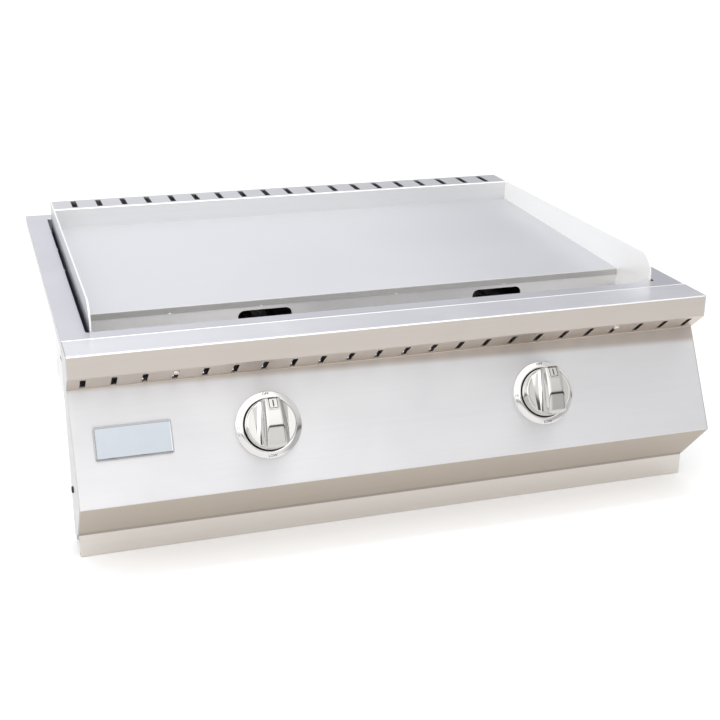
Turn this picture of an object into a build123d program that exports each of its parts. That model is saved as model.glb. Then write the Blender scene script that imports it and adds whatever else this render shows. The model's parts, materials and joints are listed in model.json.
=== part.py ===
"""Built-in gas griddle with two burners, in millimetres.

The origin is the middle of the base pan's underside. X runs to the right seen from the front,
Y to the back and Z up.
"""

import os
from math import atan2, cos, hypot, radians, sin, tan

from build123d import *

os.makedirs("parts", exist_ok=True)

# Frame that hangs on the counter
width = 762.0
side_rail = 29.0
front_flat = 22.0
opening_depth = 525.0
back_rail = 27.0
opening_corner = 3.0
lip_height = 12.7
lip_return = 12.0
lip_step = 1.5
lip_step_gap = 1.0
opening_flange = 15.0

# Sheet metal
sheet = 1.2
bend_radius = 2.0
hem_radius = 0.3
edge_round = 0.8
seam = 0.5

# Front profile from the crease down: runs are along Y, falls along Z
rail_depth = 51.0
rail_drop = 26.0
vent_run = 25.6
vent_fall = 21.4
panel_run = 60.2
panel_fall = 114.4
tuck_run = 52.3
tuck_fall = 55.4
kick_height = 28.8
fold_return = 14.0
kick_return = 10.0

# Vent slots of the front rail, and the slots from the middle that hold its two screws
vent_count = 23
vent_margin = 15.7
vent_width = 6.2
vent_length = 24.0
vent_corner = 1.5
rail_screw_slot_count = 8

# Control box and firebox
bulkhead_setback = 10.0
cap_foot = 6.0
cap_return = 15.0
cap_return_inset = 12.0
cap_screw_setback = 29.3
cap_screw_height = 78.6
pan_flange = 12.0
wall_vent_count = 7
wall_vent_pitch = 55.0
wall_vent_length = 36.0
wall_vent_width = 6.0
wall_vent_height = 62.0
shield_height = 40.0
shield_inset = 24.0
shield_gap = 45.0

# Griddle top
griddle_gap = 4.5
splash_front_gap = 1.5
splash_rear_gap = 24.8
splash_sheet = 2.0
splash_rise = 31.5
splash_skirt = 30.0
splash_corner = 24.0
ledge_depth = 51.3
ledge_slot_count = 19
ledge_slot_margin = 29.6
ledge_slot_width = 7.8
ledge_slot_length = 38.0
ledge_slot_corner = 2.0
ledge_back_flange = 52.0
rear_wall_skirt = 20.0
gutter_width = 84.0
plate_thickness = 8.0
plate_rise = 3.7
plate_fall = 11.0
plate_edge = 1.0
apron_setback = 1.0
apron_height = 46.0
port_width = 67.0
port_height = 28.0
port_corner = 8.0
port_drop = 4.7
port_spacing = 305.0
port_shift = 22.5
stiffener_count = 2
stiffener_pitch = 120.0
stiffener_thickness = 6.0
stiffener_height = 22.0
stiffener_inset = 10.0

# Support rails for the griddle top, grease tray and the brackets that carry it
support_sheet = 2.0
support_width = 15.0
support_leg = 26.0
support_inset = 10.0
tray_front_gap = 4.0
tray_back_gap = 4.0
tray_end_gap = 9.5
tray_flange = 7.5
tray_rim_drop = 45.0
tray_height = 34.0
tray_sheet = 1.2
tray_corner = 6.0
bracket_width = 14.0
bracket_leg = 24.0
bracket_inset = 6.0

# Knobs and bezels: heights are measured outwards from the panel's outer face
knob_inset = 214.0
knob_down = 61.5
bezel_radius = 37.5
bezel_lip = 1.5
bezel_height = 7.0
bezel_rim = 1.2
bezel_floor = 1.2
bezel_bore = 7.0
bezel_screw_ring = 20.0
knob_gap = 1.8
knob_radius = 28.5
knob_start = 6.0
knob_face = 22.0
knob_height = 42.5
knob_wall = 3.5
knob_edge = 3.0
knob_hub = 8.0
knob_hub_recess = 2.0
grip_top = 9.0
grip_base = 20.0
grip_hollow = 2.6
grip_crown = 120.0

# Valves: depths are measured inwards from the panel's outer face
stem_radius = 4.0
stem_flat = 3.0
stem_fit = 0.05
stem_hole = 6.0
stem_depth = 22.0
stem_reach = 28.0
stem_end_gap = 0.5
cover_depth = 11.0
cover_thickness = 3.0
cover_radius = 15.0
cover_hole_fit = 0.4
valve_radius = 13.0
valve_back = 42.0
plug_radius = 8.0
plug_fit = 0.05
plug_end_gap = 0.3
plug_floor = 4.0
plug_port = 3.0
stem_well = 32.0
outlet_depth = 30.0
outlet_radius = 7.0
outlet_length = 19.0
gas_bore = 3.0
orifice_radius = 5.0
orifice_length = 10.0
orifice_tip = 2.5
orifice_jet = 0.8
neck_radius = 8.0
spring_radius = 2.4
spring_wire = 0.35
spring_turns = 6
spring_clear = 0.3

# Gas line
manifold_size = 22.0
manifold_wall = 2.0
manifold_corner = 3.0
manifold_depth = 27.0
manifold_down = 30.0
end_plate = 5.0
gusset_thickness = 3.0
gusset_spacing = 180.0
gusset_inset = 3.0
pipe_radius = 8.5
pipe_bore = 6.5
pipe_bend = 14.0
pipe_reach = 30.0
inlet_inset = 44.8
pipe_setback = 32.0
pipe_socket = 12.0
pipe_fit = 0.1
coupling_flats = 27.0
coupling_length = 36.0
coupling_clear = 14.0
inlet_radius = 9.2
inlet_depth = 18.0

# Burners
tube_radius = 14.0
tube_wall = 1.2
tube_bend = 34.0
tube_hole_gap = 1.0
mouth_gap = 2.0
cross_setback = 160.0
leg_spacing = 170.0
leg_end_gap = 75.0
burner_port = 1.5
burner_port_count = 12
burner_port_pitch = 18.0
air_window_length = 8.0
air_window_height = 14.0
shutter_fit = 0.05
shutter_wall = 1.2
shutter_inset = 1.0
crossbar_inset = 30.0
crossbar_thickness = 3.0
crossbar_height = 26.0
crossbar_drop = 4.0
saddle_gap = 0.3

# Ignition
piezo_width = 26.0
piezo_depth = 22.0
piezo_height = 20.0
piezo_gap = 0.2
piezo_setback = 31.0
piezo_round = 2.0
lead_radius = 1.5
lead_hole = 3.0
lead_first_run = 54.0
lead_slope_run = 55.0
arc_share = 0.45
electrode_tab = 14.0
electrode_tab_thickness = 1.5
electrode_seat = 0.2
electrode_sink = 0.5
ceramic_radius = 4.0
ceramic_length = 44.0
ceramic_front = 30.0
electrode_radius = 1.2
electrode_length = 20.0

# Nameplate and small screws
badge_width = 83.0
badge_height = 35.0
badge_thickness = 1.6
badge_rim = 1.8
badge_recess = 0.6
badge_corner = 1.5
badge_inset = 23.5
badge_down = 60.9
screw_radius = 2.0
screw_fit = 0.2
screw_head = 3.75
screw_head_height = 2.2
screw_head_round = 1.0
screw_length = 12.0
short_screw_length = 5.0
wall_screw_count = 3
wall_screw_pitch = 105.0
wall_screw_setback = 152.0
wall_screw_drop = 8.0

# Levels and places that follow from the sizes above
frame_top = kick_height + tuck_fall + panel_fall + vent_fall + rail_drop
frame_depth = front_flat + opening_depth + back_rail
opening_half = width / 2 - side_rail
wall_inner = opening_half + sheet
wall_outer = wall_inner + sheet
fascia_half = width / 2 - sheet
crease_y = -(bulkhead_setback + front_flat + opening_depth + 2 * sheet) / 2
frame_mid_y = crease_y + frame_depth / 2
opening_front_y = crease_y + front_flat
opening_back_y = opening_front_y + opening_depth
opening_mid_y = (opening_front_y + opening_back_y) / 2
bulkhead_y = crease_y + bulkhead_setback
firebox_front_y = bulkhead_y + sheet
rear_wall_y = opening_back_y + sheet
firebox_mid_y = (firebox_front_y + rear_wall_y) / 2
firebox_depth = rear_wall_y - firebox_front_y
firebox_height = frame_top - sheet
edge_y = crease_y - rail_depth
drop_z = frame_top - rail_drop
under_y = edge_y + vent_run
under_z = drop_z - vent_fall
belly_y = under_y - panel_run
belly_z = under_z - panel_fall
tuck_y = belly_y + tuck_run
tuck_z = belly_z - tuck_fall
under_lip_z = frame_top - lip_height - seam
rail_back_y = crease_y - seam
vent_pitch = 2 * (fascia_half - vent_margin) / (vent_count - 1)

# Directions in the Y, Z plane: along the vent strip, down the panel and into the panel
strip_length = hypot(vent_run, vent_fall)
strip_y = vent_run / strip_length
strip_z = -vent_fall / strip_length
lean = atan2(panel_run, panel_fall)
down_y = -sin(lean)
down_z = -cos(lean)
inward_y = cos(lean)
inward_z = -sin(lean)
strip_reach = sheet / (strip_y * inward_y + strip_z * inward_z)

# Griddle top places
splash_outer = opening_half - griddle_gap
splash_inner = splash_outer - splash_sheet
splash_front_y = opening_front_y + splash_front_gap
ledge_back_y = opening_back_y - splash_rear_gap
plate_back_y = ledge_back_y - ledge_depth
plate_front_y = opening_front_y + gutter_width
plate_mid_y = (plate_front_y + plate_back_y) / 2
ledge_z = frame_top + splash_rise
ledge_slot_pitch = 2 * (splash_inner - ledge_slot_margin) / (ledge_slot_count - 1)
splash_foot_z = frame_top - splash_skirt
plate_back_z = frame_top + plate_rise
plate_front_z = plate_back_z - plate_fall
plate_slope = plate_fall / (plate_back_y - plate_front_y)
apron_y = plate_front_y + apron_setback
apron_top_z = plate_front_z - plate_thickness

# Knob, valve, burner and gas line places
knob_half = width / 2 - knob_inset
knob_y = under_y + knob_down * down_y
knob_z = under_z + knob_down * down_z
bezel_inner = knob_radius + knob_gap
cover_back = cover_depth + cover_thickness
outlet_y = knob_y + outlet_depth * inward_y
burner_z = knob_z + outlet_depth * inward_z
orifice_y = outlet_y + outlet_length
mouth_y = orifice_y + mouth_gap
window_y = (mouth_y + bulkhead_y) / 2
cross_y = bulkhead_y + cross_setback
leg_end_y = rear_wall_y - leg_end_gap
inlet_x = fascia_half - inlet_inset
manifold_half = inlet_x - pipe_reach - end_plate
manifold_y = knob_y + manifold_depth * inward_y + manifold_down * down_y
manifold_z = knob_z + manifold_depth * inward_z + manifold_down * down_z
piezo_offset = valve_radius + piezo_gap + piezo_width / 2
piezo_y = knob_y + piezo_setback * inward_y
piezo_z = knob_z + piezo_setback * inward_z
lead_y = piezo_y + piezo_depth / 2
tab_z = burner_z + tube_radius + electrode_seat
ceramic_z = tab_z + electrode_tab_thickness + ceramic_radius - electrode_sink

SIDES = (("left", -1, Align.MIN), ("right", 1, Align.MAX))
FROM_BASE = (Align.CENTER, Align.CENTER, Align.MIN)
FROM_TOP = (Align.CENTER, Align.CENTER, Align.MAX)

panel_plane = Plane(
    origin=(0, under_y, under_z), x_dir=(1, 0, 0), z_dir=(0, -inward_y, -inward_z)
)
strip_plane = Plane(
    origin=(0, edge_y + vent_run / 2, drop_z - vent_fall / 2),
    x_dir=(1, 0, 0),
    z_dir=(0, strip_z, -strip_y),
)
manifold_plane = Plane(
    origin=(0, manifold_y, manifold_z), x_dir=(0, -down_y, -down_z), z_dir=(1, 0, 0)
)


def folded_sheet(points, thickness, side, plane=Plane.YZ, last_bend=bend_radius):
    """Section of a folded sheet: its outer line with bent corners, closed by the line set in."""
    bends = [bend_radius] * (len(points) - 3) + [last_bend]
    with BuildSketch(plane) as section:
        with BuildLine():
            FilletPolyline(*points, radius=bends)
            offset(amount=thickness, side=side)
        make_face()
    return section.sketch


def moved(plane, x, y, z=0):
    """A plane with its origin moved along its own directions."""
    return Plane(origin=plane.from_local_coords((x, y, z)), x_dir=plane.x_dir, z_dir=plane.z_dir)


def knob_spot(sign):
    """Plane on the panel under a knob, with Y up the panel and Z out of it."""
    return moved(panel_plane, sign * knob_half, -knob_down)


def axis_section(spot):
    """Plane through a spot's axis: local X is a radius and local Y a height over the panel."""
    return Plane(origin=spot.origin, x_dir=spot.x_dir, z_dir=-spot.y_dir)


def d_section(plane, radius, flat):
    """Round section with one flat."""
    with BuildSketch(plane) as section:
        Circle(radius)
        with Locations((0, flat)):
            Rectangle(2 * radius, radius, align=(Align.CENTER, Align.MIN), mode=Mode.SUBTRACT)
    return section.sketch


def pan_head_screw(plane, length):
    """Screw whose head stands on a plane and whose shank runs in behind it."""
    with BuildPart(plane) as screw:
        Cylinder(screw_head, screw_head_height, align=FROM_BASE)
        fillet(screw.edges().sort_by(Axis(plane.origin, plane.z_dir))[-1], screw_head_round)
        Cylinder(screw_radius, length, align=FROM_TOP)
    return screw.part


def bezel_screw_planes(spot, height):
    """Planes at a bezel's two screws, on a diagonal, at a height over the panel."""
    reach = bezel_screw_ring * cos(radians(45))
    return [moved(spot, step * reach, step * reach, height) for step in (-1, 1)]


def wall_screw_ys():
    """Places along Y of the screws that hold the firebox walls to the frame."""
    first = opening_back_y - wall_screw_setback - wall_screw_pitch * (wall_screw_count - 1) / 2
    return [first + wall_screw_pitch * step for step in range(wall_screw_count)]


# Top frame: a flat flange with a lip outside, a return under the lip and a turned-down opening.
# The lip is stepped up over the control box, so the return alone rests on the counter.
with BuildPart() as top_frame:
    with BuildSketch(Plane.XY.offset(frame_top)):
        with Locations((0, frame_mid_y)):
            Rectangle(width, frame_depth)
    extrude(amount=-lip_height)
    with BuildSketch(Plane.XY.offset(frame_top - sheet)):
        with Locations((0, frame_mid_y)):
            Rectangle(width - 2 * sheet, frame_depth - 2 * sheet)
    extrude(amount=-lip_height, mode=Mode.SUBTRACT)
    with BuildSketch(Plane.XY.offset(frame_top - lip_height)):
        with Locations((0, frame_mid_y)):
            Rectangle(width, frame_depth)
        with Locations((0, frame_mid_y - lip_return)):
            Rectangle(width - 2 * lip_return, frame_depth, mode=Mode.SUBTRACT)
    extrude(amount=sheet)
    with BuildSketch(Plane.XY.offset(frame_top)):
        with Locations((0, opening_mid_y)):
            RectangleRounded(2 * wall_inner, opening_depth + 2 * sheet, opening_corner + sheet)
    extrude(amount=-opening_flange)
    with BuildSketch(Plane.XY.offset(frame_top)):
        with Locations((0, opening_mid_y)):
            RectangleRounded(2 * opening_half, opening_depth, opening_corner)
    extrude(amount=-opening_flange, mode=Mode.SUBTRACT)
    fillet(top_frame.faces().sort_by(Axis.Z)[-1].edges(), edge_round)
    with Locations((0, crease_y, frame_top - lip_height)):
        step_depth = firebox_front_y + lip_step_gap - crease_y
        step_align = (Align.CENTER, Align.MIN, Align.MIN)
        Box(width, step_depth, lip_step, align=step_align, mode=Mode.SUBTRACT)
    with BuildSketch(Plane.YZ):
        with Locations([(y, frame_top - wall_screw_drop) for y in wall_screw_ys()]):
            Circle(screw_radius + screw_fit)
    extrude(amount=wall_outer, both=True, mode=Mode.SUBTRACT)
top_frame.part.label = "top_frame"
export_step(top_frame.part, "parts/top_frame.step")

# Front rail: rear flange, level strip, drop, slotted strip and a return behind the panel
strip_end = (under_y + strip_reach * strip_y, under_z + strip_reach * strip_z)
rail_line = [
    (rail_back_y, frame_top - lip_height),
    (rail_back_y, frame_top),
    (edge_y, frame_top),
    (edge_y, drop_z),
    strip_end,
    (strip_end[0] + fold_return * down_y, strip_end[1] + fold_return * down_z),
]
with BuildPart() as front_rail:
    rail_section = folded_sheet(rail_line, sheet, Side.LEFT, last_bend=hem_radius)
    extrude(rail_section, amount=fascia_half, both=True)
    with BuildSketch(strip_plane):
        with GridLocations(vent_pitch, vent_length, vent_count, 1):
            RectangleRounded(vent_width, vent_length, vent_corner)
    extrude(amount=sheet, both=True, mode=Mode.SUBTRACT)
front_rail.part.label = "front_rail"
export_step(front_rail.part, "parts/front_rail.step")

# Screws that sit in two of the rail's vent slots
with BuildPart() as rail_screws:
    for side, sign, align in SIDES:
        spot_x = sign * rail_screw_slot_count * vent_pitch
        add(pan_head_screw(moved(strip_plane, spot_x, (vent_length - vent_width) / 2), screw_length))
rail_screws.part.label = "rail_screws"
export_step(rail_screws.part, "parts/rail_screws.step")

# Control panel: slanted face, folded under at the belly and up behind the kick plate
panel_line = [
    (under_y + seam * down_y, under_z + seam * down_z),
    (belly_y, belly_z),
    (tuck_y, tuck_z),
    (tuck_y, tuck_z + fold_return),
]
with BuildPart() as control_panel:
    extrude(folded_sheet(panel_line, sheet, Side.LEFT), amount=fascia_half, both=True)
    for side, sign, align in SIDES:
        with BuildSketch(knob_spot(sign)):
            Circle(stem_hole)
        extrude(amount=2 * sheet, both=True, mode=Mode.SUBTRACT)
        with BuildSketch(*bezel_screw_planes(knob_spot(sign), 0)):
            Circle(screw_radius + screw_fit)
        extrude(amount=2 * sheet, both=True, mode=Mode.SUBTRACT)
control_panel.part.label = "control_panel"
export_step(control_panel.part, "parts/control_panel.step")

# Kick plate behind the panel's lower return
kick_line = [(tuck_y, tuck_z + fold_return), (tuck_y, 0), (tuck_y + kick_return, 0)]
with BuildPart() as kick_plate:
    extrude(folded_sheet(kick_line, sheet, Side.LEFT), amount=fascia_half, both=True)
kick_plate.part.label = "kick_plate"
export_step(kick_plate.part, "parts/kick_plate.step")

# End caps: the front profile as a plate, with a return that meets the bulkhead
cap_outline = [
    (rail_back_y, frame_top),
    (edge_y, frame_top),
    (edge_y, drop_z),
    (under_y, under_z),
    (belly_y, belly_z),
    (tuck_y, tuck_z),
    (bulkhead_y, cap_foot),
    (bulkhead_y, under_lip_z),
    (rail_back_y, under_lip_z),
]
cap_bends = [bend_radius] * (len(cap_outline) - 1) + [0]
cap_screw_y = bulkhead_y - cap_screw_setback
for side, sign, align in SIDES:
    with BuildPart() as end_cap:
        with BuildSketch(Plane.YZ.offset(sign * fascia_half)):
            with BuildLine():
                FilletPolyline(*cap_outline, radius=cap_bends, close=True)
            make_face()
            with Locations((cap_screw_y, cap_screw_height)):
                Circle(screw_radius + screw_fit, mode=Mode.SUBTRACT)
        extrude(amount=sign * sheet)
        return_height = under_lip_z - cap_foot - 2 * cap_return_inset
        with Locations((sign * fascia_half, bulkhead_y, (under_lip_z + cap_foot) / 2)):
            Box(cap_return, sheet, return_height, align=(align, Align.MAX, Align.CENTER))
    end_cap.part.label = f"{side}_end_cap"
    export_step(end_cap.part, f"parts/{side}_end_cap.step")

# Dark screws in the end caps
with BuildPart() as cap_screws:
    for side, sign, align in SIDES:
        head_spot = (sign * width / 2, cap_screw_y, cap_screw_height)
        add(pan_head_screw(Plane(origin=head_spot, z_dir=(sign, 0, 0)), short_screw_length))
cap_screws.part.label = "cap_screws"
export_step(cap_screws.part, "parts/cap_screws.step")

# Bulkhead between the control box and the firebox
with BuildPart() as bulkhead:
    with BuildSketch(Plane.XZ.offset(-bulkhead_y)):
        Rectangle(2 * fascia_half, under_lip_z, align=(Align.CENTER, Align.MIN))
        Rectangle(2 * wall_outer, firebox_height, align=(Align.CENTER, Align.MIN))
        for side, sign, align in SIDES:
            with Locations((sign * knob_half, burner_z)):
                Circle(tube_radius + tube_hole_gap, mode=Mode.SUBTRACT)
            with Locations((sign * (knob_half - piezo_offset), piezo_z)):
                Circle(lead_hole, mode=Mode.SUBTRACT)
    extrude(amount=-sheet)
bulkhead.part.label = "bulkhead"
export_step(bulkhead.part, "parts/bulkhead.step")

# Firebox walls with air slots, hung from the frame's opening flange
for side, sign, align in SIDES:
    with BuildPart() as firebox_wall:
        with BuildSketch(Plane.YZ.offset(sign * wall_inner)):
            with Locations((firebox_mid_y, 0)):
                Rectangle(firebox_depth, firebox_height, align=(Align.CENTER, Align.MIN))
            with Locations((firebox_mid_y, wall_vent_height)):
                with GridLocations(wall_vent_pitch, wall_vent_width, wall_vent_count, 1):
                    SlotOverall(wall_vent_length, wall_vent_width, mode=Mode.SUBTRACT)
            with Locations([(y, frame_top - wall_screw_drop) for y in wall_screw_ys()]):
                Circle(screw_radius + screw_fit, mode=Mode.SUBTRACT)
        extrude(amount=sign * sheet)
    firebox_wall.part.label = f"{side}_firebox_wall"
    export_step(firebox_wall.part, f"parts/{side}_firebox_wall.step")

with BuildPart() as rear_firebox_wall:
    with BuildSketch(Plane.XZ.offset(-rear_wall_y)):
        Rectangle(2 * wall_outer, firebox_height, align=(Align.CENTER, Align.MIN))
        with Locations((0, wall_vent_height)):
            with GridLocations(wall_vent_pitch, wall_vent_width, wall_vent_count, 1):
                SlotOverall(wall_vent_length, wall_vent_width, mode=Mode.SUBTRACT)
    extrude(amount=-sheet)
rear_firebox_wall.part.label = "rear_firebox_wall"
export_step(rear_firebox_wall.part, "parts/rear_firebox_wall.step")

# Screws that hold the side walls to the frame, heads in the gap beside the griddle top
with BuildPart() as wall_screws:
    for side, sign, align in SIDES:
        for y in wall_screw_ys():
            head_spot = (sign * opening_half, y, frame_top - wall_screw_drop)
            add(pan_head_screw(Plane(origin=head_spot, z_dir=(-sign, 0, 0)), short_screw_length))
wall_screws.part.label = "wall_screws"
export_step(wall_screws.part, "parts/wall_screws.step")

# Base pan between the walls, and the heat shield that stands on it
pan_line = [
    (-wall_inner, pan_flange),
    (-wall_inner, 0),
    (wall_inner, 0),
    (wall_inner, pan_flange),
]
with BuildPart() as base_pan:
    pan_section = folded_sheet(pan_line, sheet, Side.LEFT, Plane.XZ.offset(-firebox_front_y))
    extrude(pan_section, amount=-firebox_depth)
base_pan.part.label = "base_pan"
export_step(base_pan.part, "parts/base_pan.step")

shield_half = wall_inner - shield_inset
shield_line = [
    (-shield_half, sheet),
    (-shield_half, shield_height),
    (shield_half, shield_height),
    (shield_half, sheet),
]
with BuildPart() as heat_shield:
    shield_plane = Plane.XZ.offset(-(firebox_front_y + shield_gap))
    extrude(
        folded_sheet(shield_line, sheet, Side.RIGHT, shield_plane),
        amount=-(firebox_depth - 2 * shield_gap),
    )
heat_shield.part.label = "heat_shield"
export_step(heat_shield.part, "parts/heat_shield.step")

# Support rails on the side walls carry the griddle top by its splash walls
support_length = plate_back_y - plate_front_y - 2 * support_inset
for side, sign, align in SIDES:
    with BuildPart() as support_rail:
        with Locations((sign * wall_inner, plate_mid_y, splash_foot_z)):
            Box(support_width, support_length, support_sheet, align=(align, Align.CENTER, Align.MAX))
            Box(support_sheet, support_length, support_leg, align=(align, Align.CENTER, Align.MAX))
    support_rail.part.label = f"{side}_support_rail"
    export_step(support_rail.part, f"parts/{side}_support_rail.step")

# Grease tray in the gutter, hung by its end flanges on two brackets
tray_front_y = opening_front_y + tray_front_gap
tray_back_y = plate_front_y - tray_back_gap
tray_mid_y = (tray_front_y + tray_back_y) / 2
tray_span = tray_back_y - tray_front_y
tray_half = splash_inner - tray_end_gap
tray_rim_z = frame_top - tray_rim_drop
with BuildPart() as grease_tray:
    with BuildSketch(Plane.XY.offset(tray_rim_z)):
        with Locations((0, tray_mid_y)):
            RectangleRounded(2 * tray_half, tray_span, tray_corner)
    extrude(amount=-tray_height)
    fillet(grease_tray.faces().sort_by(Axis.Z)[0].edges(), tray_corner - tray_sheet)
    offset(amount=-tray_sheet, openings=grease_tray.faces().sort_by(Axis.Z)[-1])
    with BuildSketch(Plane.XY.offset(tray_rim_z)):
        with Locations((0, tray_mid_y)):
            RectangleRounded(2 * (tray_half + tray_flange), tray_span, tray_corner)
            RectangleRounded(
                2 * (tray_half - tray_sheet),
                tray_span - 2 * tray_sheet,
                tray_corner - tray_sheet,
                mode=Mode.SUBTRACT,
            )
    extrude(amount=-tray_sheet)
grease_tray.part.label = "grease_tray"
export_step(grease_tray.part, "parts/grease_tray.step")

bracket_length = tray_span - 2 * bracket_inset
for side, sign, align in SIDES:
    with BuildPart() as tray_bracket:
        with Locations((sign * wall_inner, tray_mid_y, tray_rim_z - tray_sheet)):
            Box(bracket_width, bracket_length, sheet, align=(align, Align.CENTER, Align.MAX))
            Box(sheet, bracket_length, bracket_leg, align=(align, Align.CENTER, Align.MAX))
    tray_bracket.part.label = f"{side}_tray_bracket"
    export_step(tray_bracket.part, f"parts/{side}_tray_bracket.step")

# Griddle plate, sloping down to the gutter
plate_outline = [
    (plate_front_y, plate_front_z - plate_thickness),
    (plate_front_y, plate_front_z),
    (plate_back_y, plate_back_z),
    (plate_back_y, plate_back_z - plate_thickness),
]
with BuildPart() as griddle_plate:
    with BuildSketch(Plane.YZ):
        with BuildLine():
            FilletPolyline(*plate_outline, radius=[0, plate_edge, 0, 0], close=True)
        make_face()
    extrude(amount=splash_inner, both=True)
griddle_plate.part.label = "griddle_plate"
export_step(griddle_plate.part, "parts/griddle_plate.step")

# Splash walls at the sides, run forward over the gutter with a round corner
splash_outline = [
    (splash_front_y, splash_foot_z),
    (splash_front_y, ledge_z),
    (ledge_back_y, ledge_z),
    (ledge_back_y, splash_foot_z),
]
for side, sign, align in SIDES:
    with BuildPart() as splash:
        with BuildSketch(Plane.YZ.offset(sign * splash_inner)):
            with BuildLine():
                FilletPolyline(*splash_outline, radius=[0, splash_corner, 0, 0], close=True)
            make_face()
        extrude(amount=sign * splash_sheet)
    splash.part.label = f"{side}_splash"
    export_step(splash.part, f"parts/{side}_splash.step")

# Rear splash: wall, slotted flue ledge and back flange in one folded sheet
rear_line = [
    (plate_back_y, frame_top - rear_wall_skirt),
    (plate_back_y, ledge_z),
    (ledge_back_y, ledge_z),
    (ledge_back_y, ledge_z - ledge_back_flange),
]
with BuildPart() as rear_splash:
    extrude(folded_sheet(rear_line, splash_sheet, Side.RIGHT), amount=splash_inner, both=True)
    with BuildSketch(Plane.XY.offset(ledge_z)):
        with Locations((0, ledge_back_y - ledge_depth / 2)):
            with GridLocations(ledge_slot_pitch, ledge_slot_length, ledge_slot_count, 1):
                RectangleRounded(ledge_slot_width, ledge_slot_length, ledge_slot_corner)
    extrude(amount=-2 * splash_sheet, mode=Mode.SUBTRACT)
rear_splash.part.label = "rear_splash"
export_step(rear_splash.part, "parts/rear_splash.step")

# Front apron under the plate's front edge, with two lighting ports
with BuildPart() as front_apron:
    with BuildSketch(Plane.XZ.offset(-apron_y)):
        with Locations((0, apron_top_z)):
            Rectangle(2 * splash_inner, apron_height, align=(Align.CENTER, Align.MAX))
        with Locations((port_shift, apron_top_z - port_drop - port_height / 2)):
            with GridLocations(port_spacing, port_height, 2, 1):
                RectangleRounded(port_width, port_height, port_corner, mode=Mode.SUBTRACT)
    extrude(amount=-splash_sheet)
front_apron.part.label = "front_apron"
export_step(front_apron.part, "parts/front_apron.step")

# Stiffener bars across the plate's underside
with BuildPart() as plate_stiffeners:
    for step in range(stiffener_count):
        bar_y = plate_mid_y + stiffener_pitch * (step - (stiffener_count - 1) / 2)
        bar_top = apron_top_z + plate_slope * (bar_y - stiffener_thickness / 2 - plate_front_y)
        with Locations((0, bar_y, bar_top)):
            bar_length = 2 * (splash_inner - stiffener_inset)
            Box(bar_length, stiffener_thickness, stiffener_height, align=FROM_TOP)
plate_stiffeners.part.label = "plate_stiffeners"
export_step(plate_stiffeners.part, "parts/plate_stiffeners.step")

# Burners: a fork of bent tube with ports on top, fed by a venturi through the bulkhead
port_mid_y = (cross_y + tube_bend + leg_end_y) / 2
for side, sign, align in SIDES:
    burner_x = sign * knob_half
    with BuildPart() as burner:
        for radius, end, mode in (
            (tube_radius, 0, Mode.ADD),
            (tube_radius - tube_wall, tube_wall, Mode.SUBTRACT),
        ):
            fork_points = [
                (burner_x - leg_spacing / 2, leg_end_y - end),
                (burner_x - leg_spacing / 2, cross_y),
                (burner_x + leg_spacing / 2, cross_y),
                (burner_x + leg_spacing / 2, leg_end_y - end),
            ]
            with BuildLine(Plane.XY.offset(burner_z)) as fork:
                FilletPolyline(*fork_points, radius=tube_bend)
            with BuildSketch(Plane(origin=fork.line @ 0, z_dir=fork.line % 0)):
                Circle(radius)
            sweep(path=fork.line, mode=mode)
            with BuildSketch(Plane.XZ.offset(-mouth_y)):
                with Locations((burner_x, burner_z)):
                    Circle(radius)
            extrude(amount=mouth_y - cross_y, mode=mode)
        with BuildSketch(Plane.XY.offset(burner_z)):
            with Locations((burner_x, port_mid_y)):
                with GridLocations(leg_spacing, burner_port_pitch, 2, burner_port_count):
                    Circle(burner_port)
        extrude(amount=2 * tube_radius, mode=Mode.SUBTRACT)
        with Locations((burner_x, window_y, burner_z)):
            window = (4 * tube_radius, air_window_length, air_window_height)
            Box(*window, mode=Mode.SUBTRACT)
    burner.part.label = f"{side}_burner"
    export_step(burner.part, f"parts/{side}_burner.step")

    # Air shutter: a sleeve with the same windows that turns on the venturi
    with BuildPart() as air_shutter:
        shutter_y = mouth_y + shutter_inset
        sleeve = tube_radius + shutter_fit
        with BuildSketch(Plane.XZ.offset(-shutter_y)):
            with Locations((burner_x, burner_z)):
                Circle(sleeve + shutter_wall)
                Circle(sleeve, mode=Mode.SUBTRACT)
        extrude(amount=shutter_y - bulkhead_y + shutter_inset)
        with Locations((burner_x, window_y, burner_z)):
            Box(*window, mode=Mode.SUBTRACT)
    air_shutter.part.label = f"{side}_air_shutter"
    export_step(air_shutter.part, f"parts/{side}_air_shutter.step")

# Crossbar with saddles under the burners' rear ends
with BuildPart() as burner_crossbar:
    with BuildSketch(Plane.XZ.offset(-(leg_end_y - crossbar_inset))):
        with Locations((0, burner_z - crossbar_drop)):
            Rectangle(2 * wall_inner, crossbar_height, align=(Align.CENTER, Align.MAX))
        for side, sign, align in SIDES:
            with Locations((sign * knob_half, burner_z)):
                with GridLocations(leg_spacing, tube_radius, 2, 1):
                    Circle(tube_radius + saddle_gap, mode=Mode.SUBTRACT)
    extrude(amount=crossbar_thickness / 2, both=True)
burner_crossbar.part.label = "burner_crossbar"
export_step(burner_crossbar.part, "parts/burner_crossbar.step")

# Gas manifold: square tube along the panel, closed at the left and fed at the right
with BuildPart() as manifold:
    with BuildSketch(manifold_plane):
        RectangleRounded(manifold_size, manifold_size, manifold_corner)
        bore_size = manifold_size - 2 * manifold_wall
        bore_corner = manifold_corner - manifold_wall
        RectangleRounded(bore_size, bore_size, bore_corner, mode=Mode.SUBTRACT)
    extrude(amount=manifold_half, both=True)
    for side, sign, align in SIDES:
        neck_origin = knob_spot(sign).from_local_coords((0, -manifold_down, -manifold_depth))
        with BuildSketch(Plane(origin=neck_origin, z_dir=(0, -down_y, -down_z))):
            Circle(gas_bore)
        extrude(amount=manifold_size, mode=Mode.SUBTRACT)
manifold.part.label = "manifold"
export_step(manifold.part, "parts/manifold.step")

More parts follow.
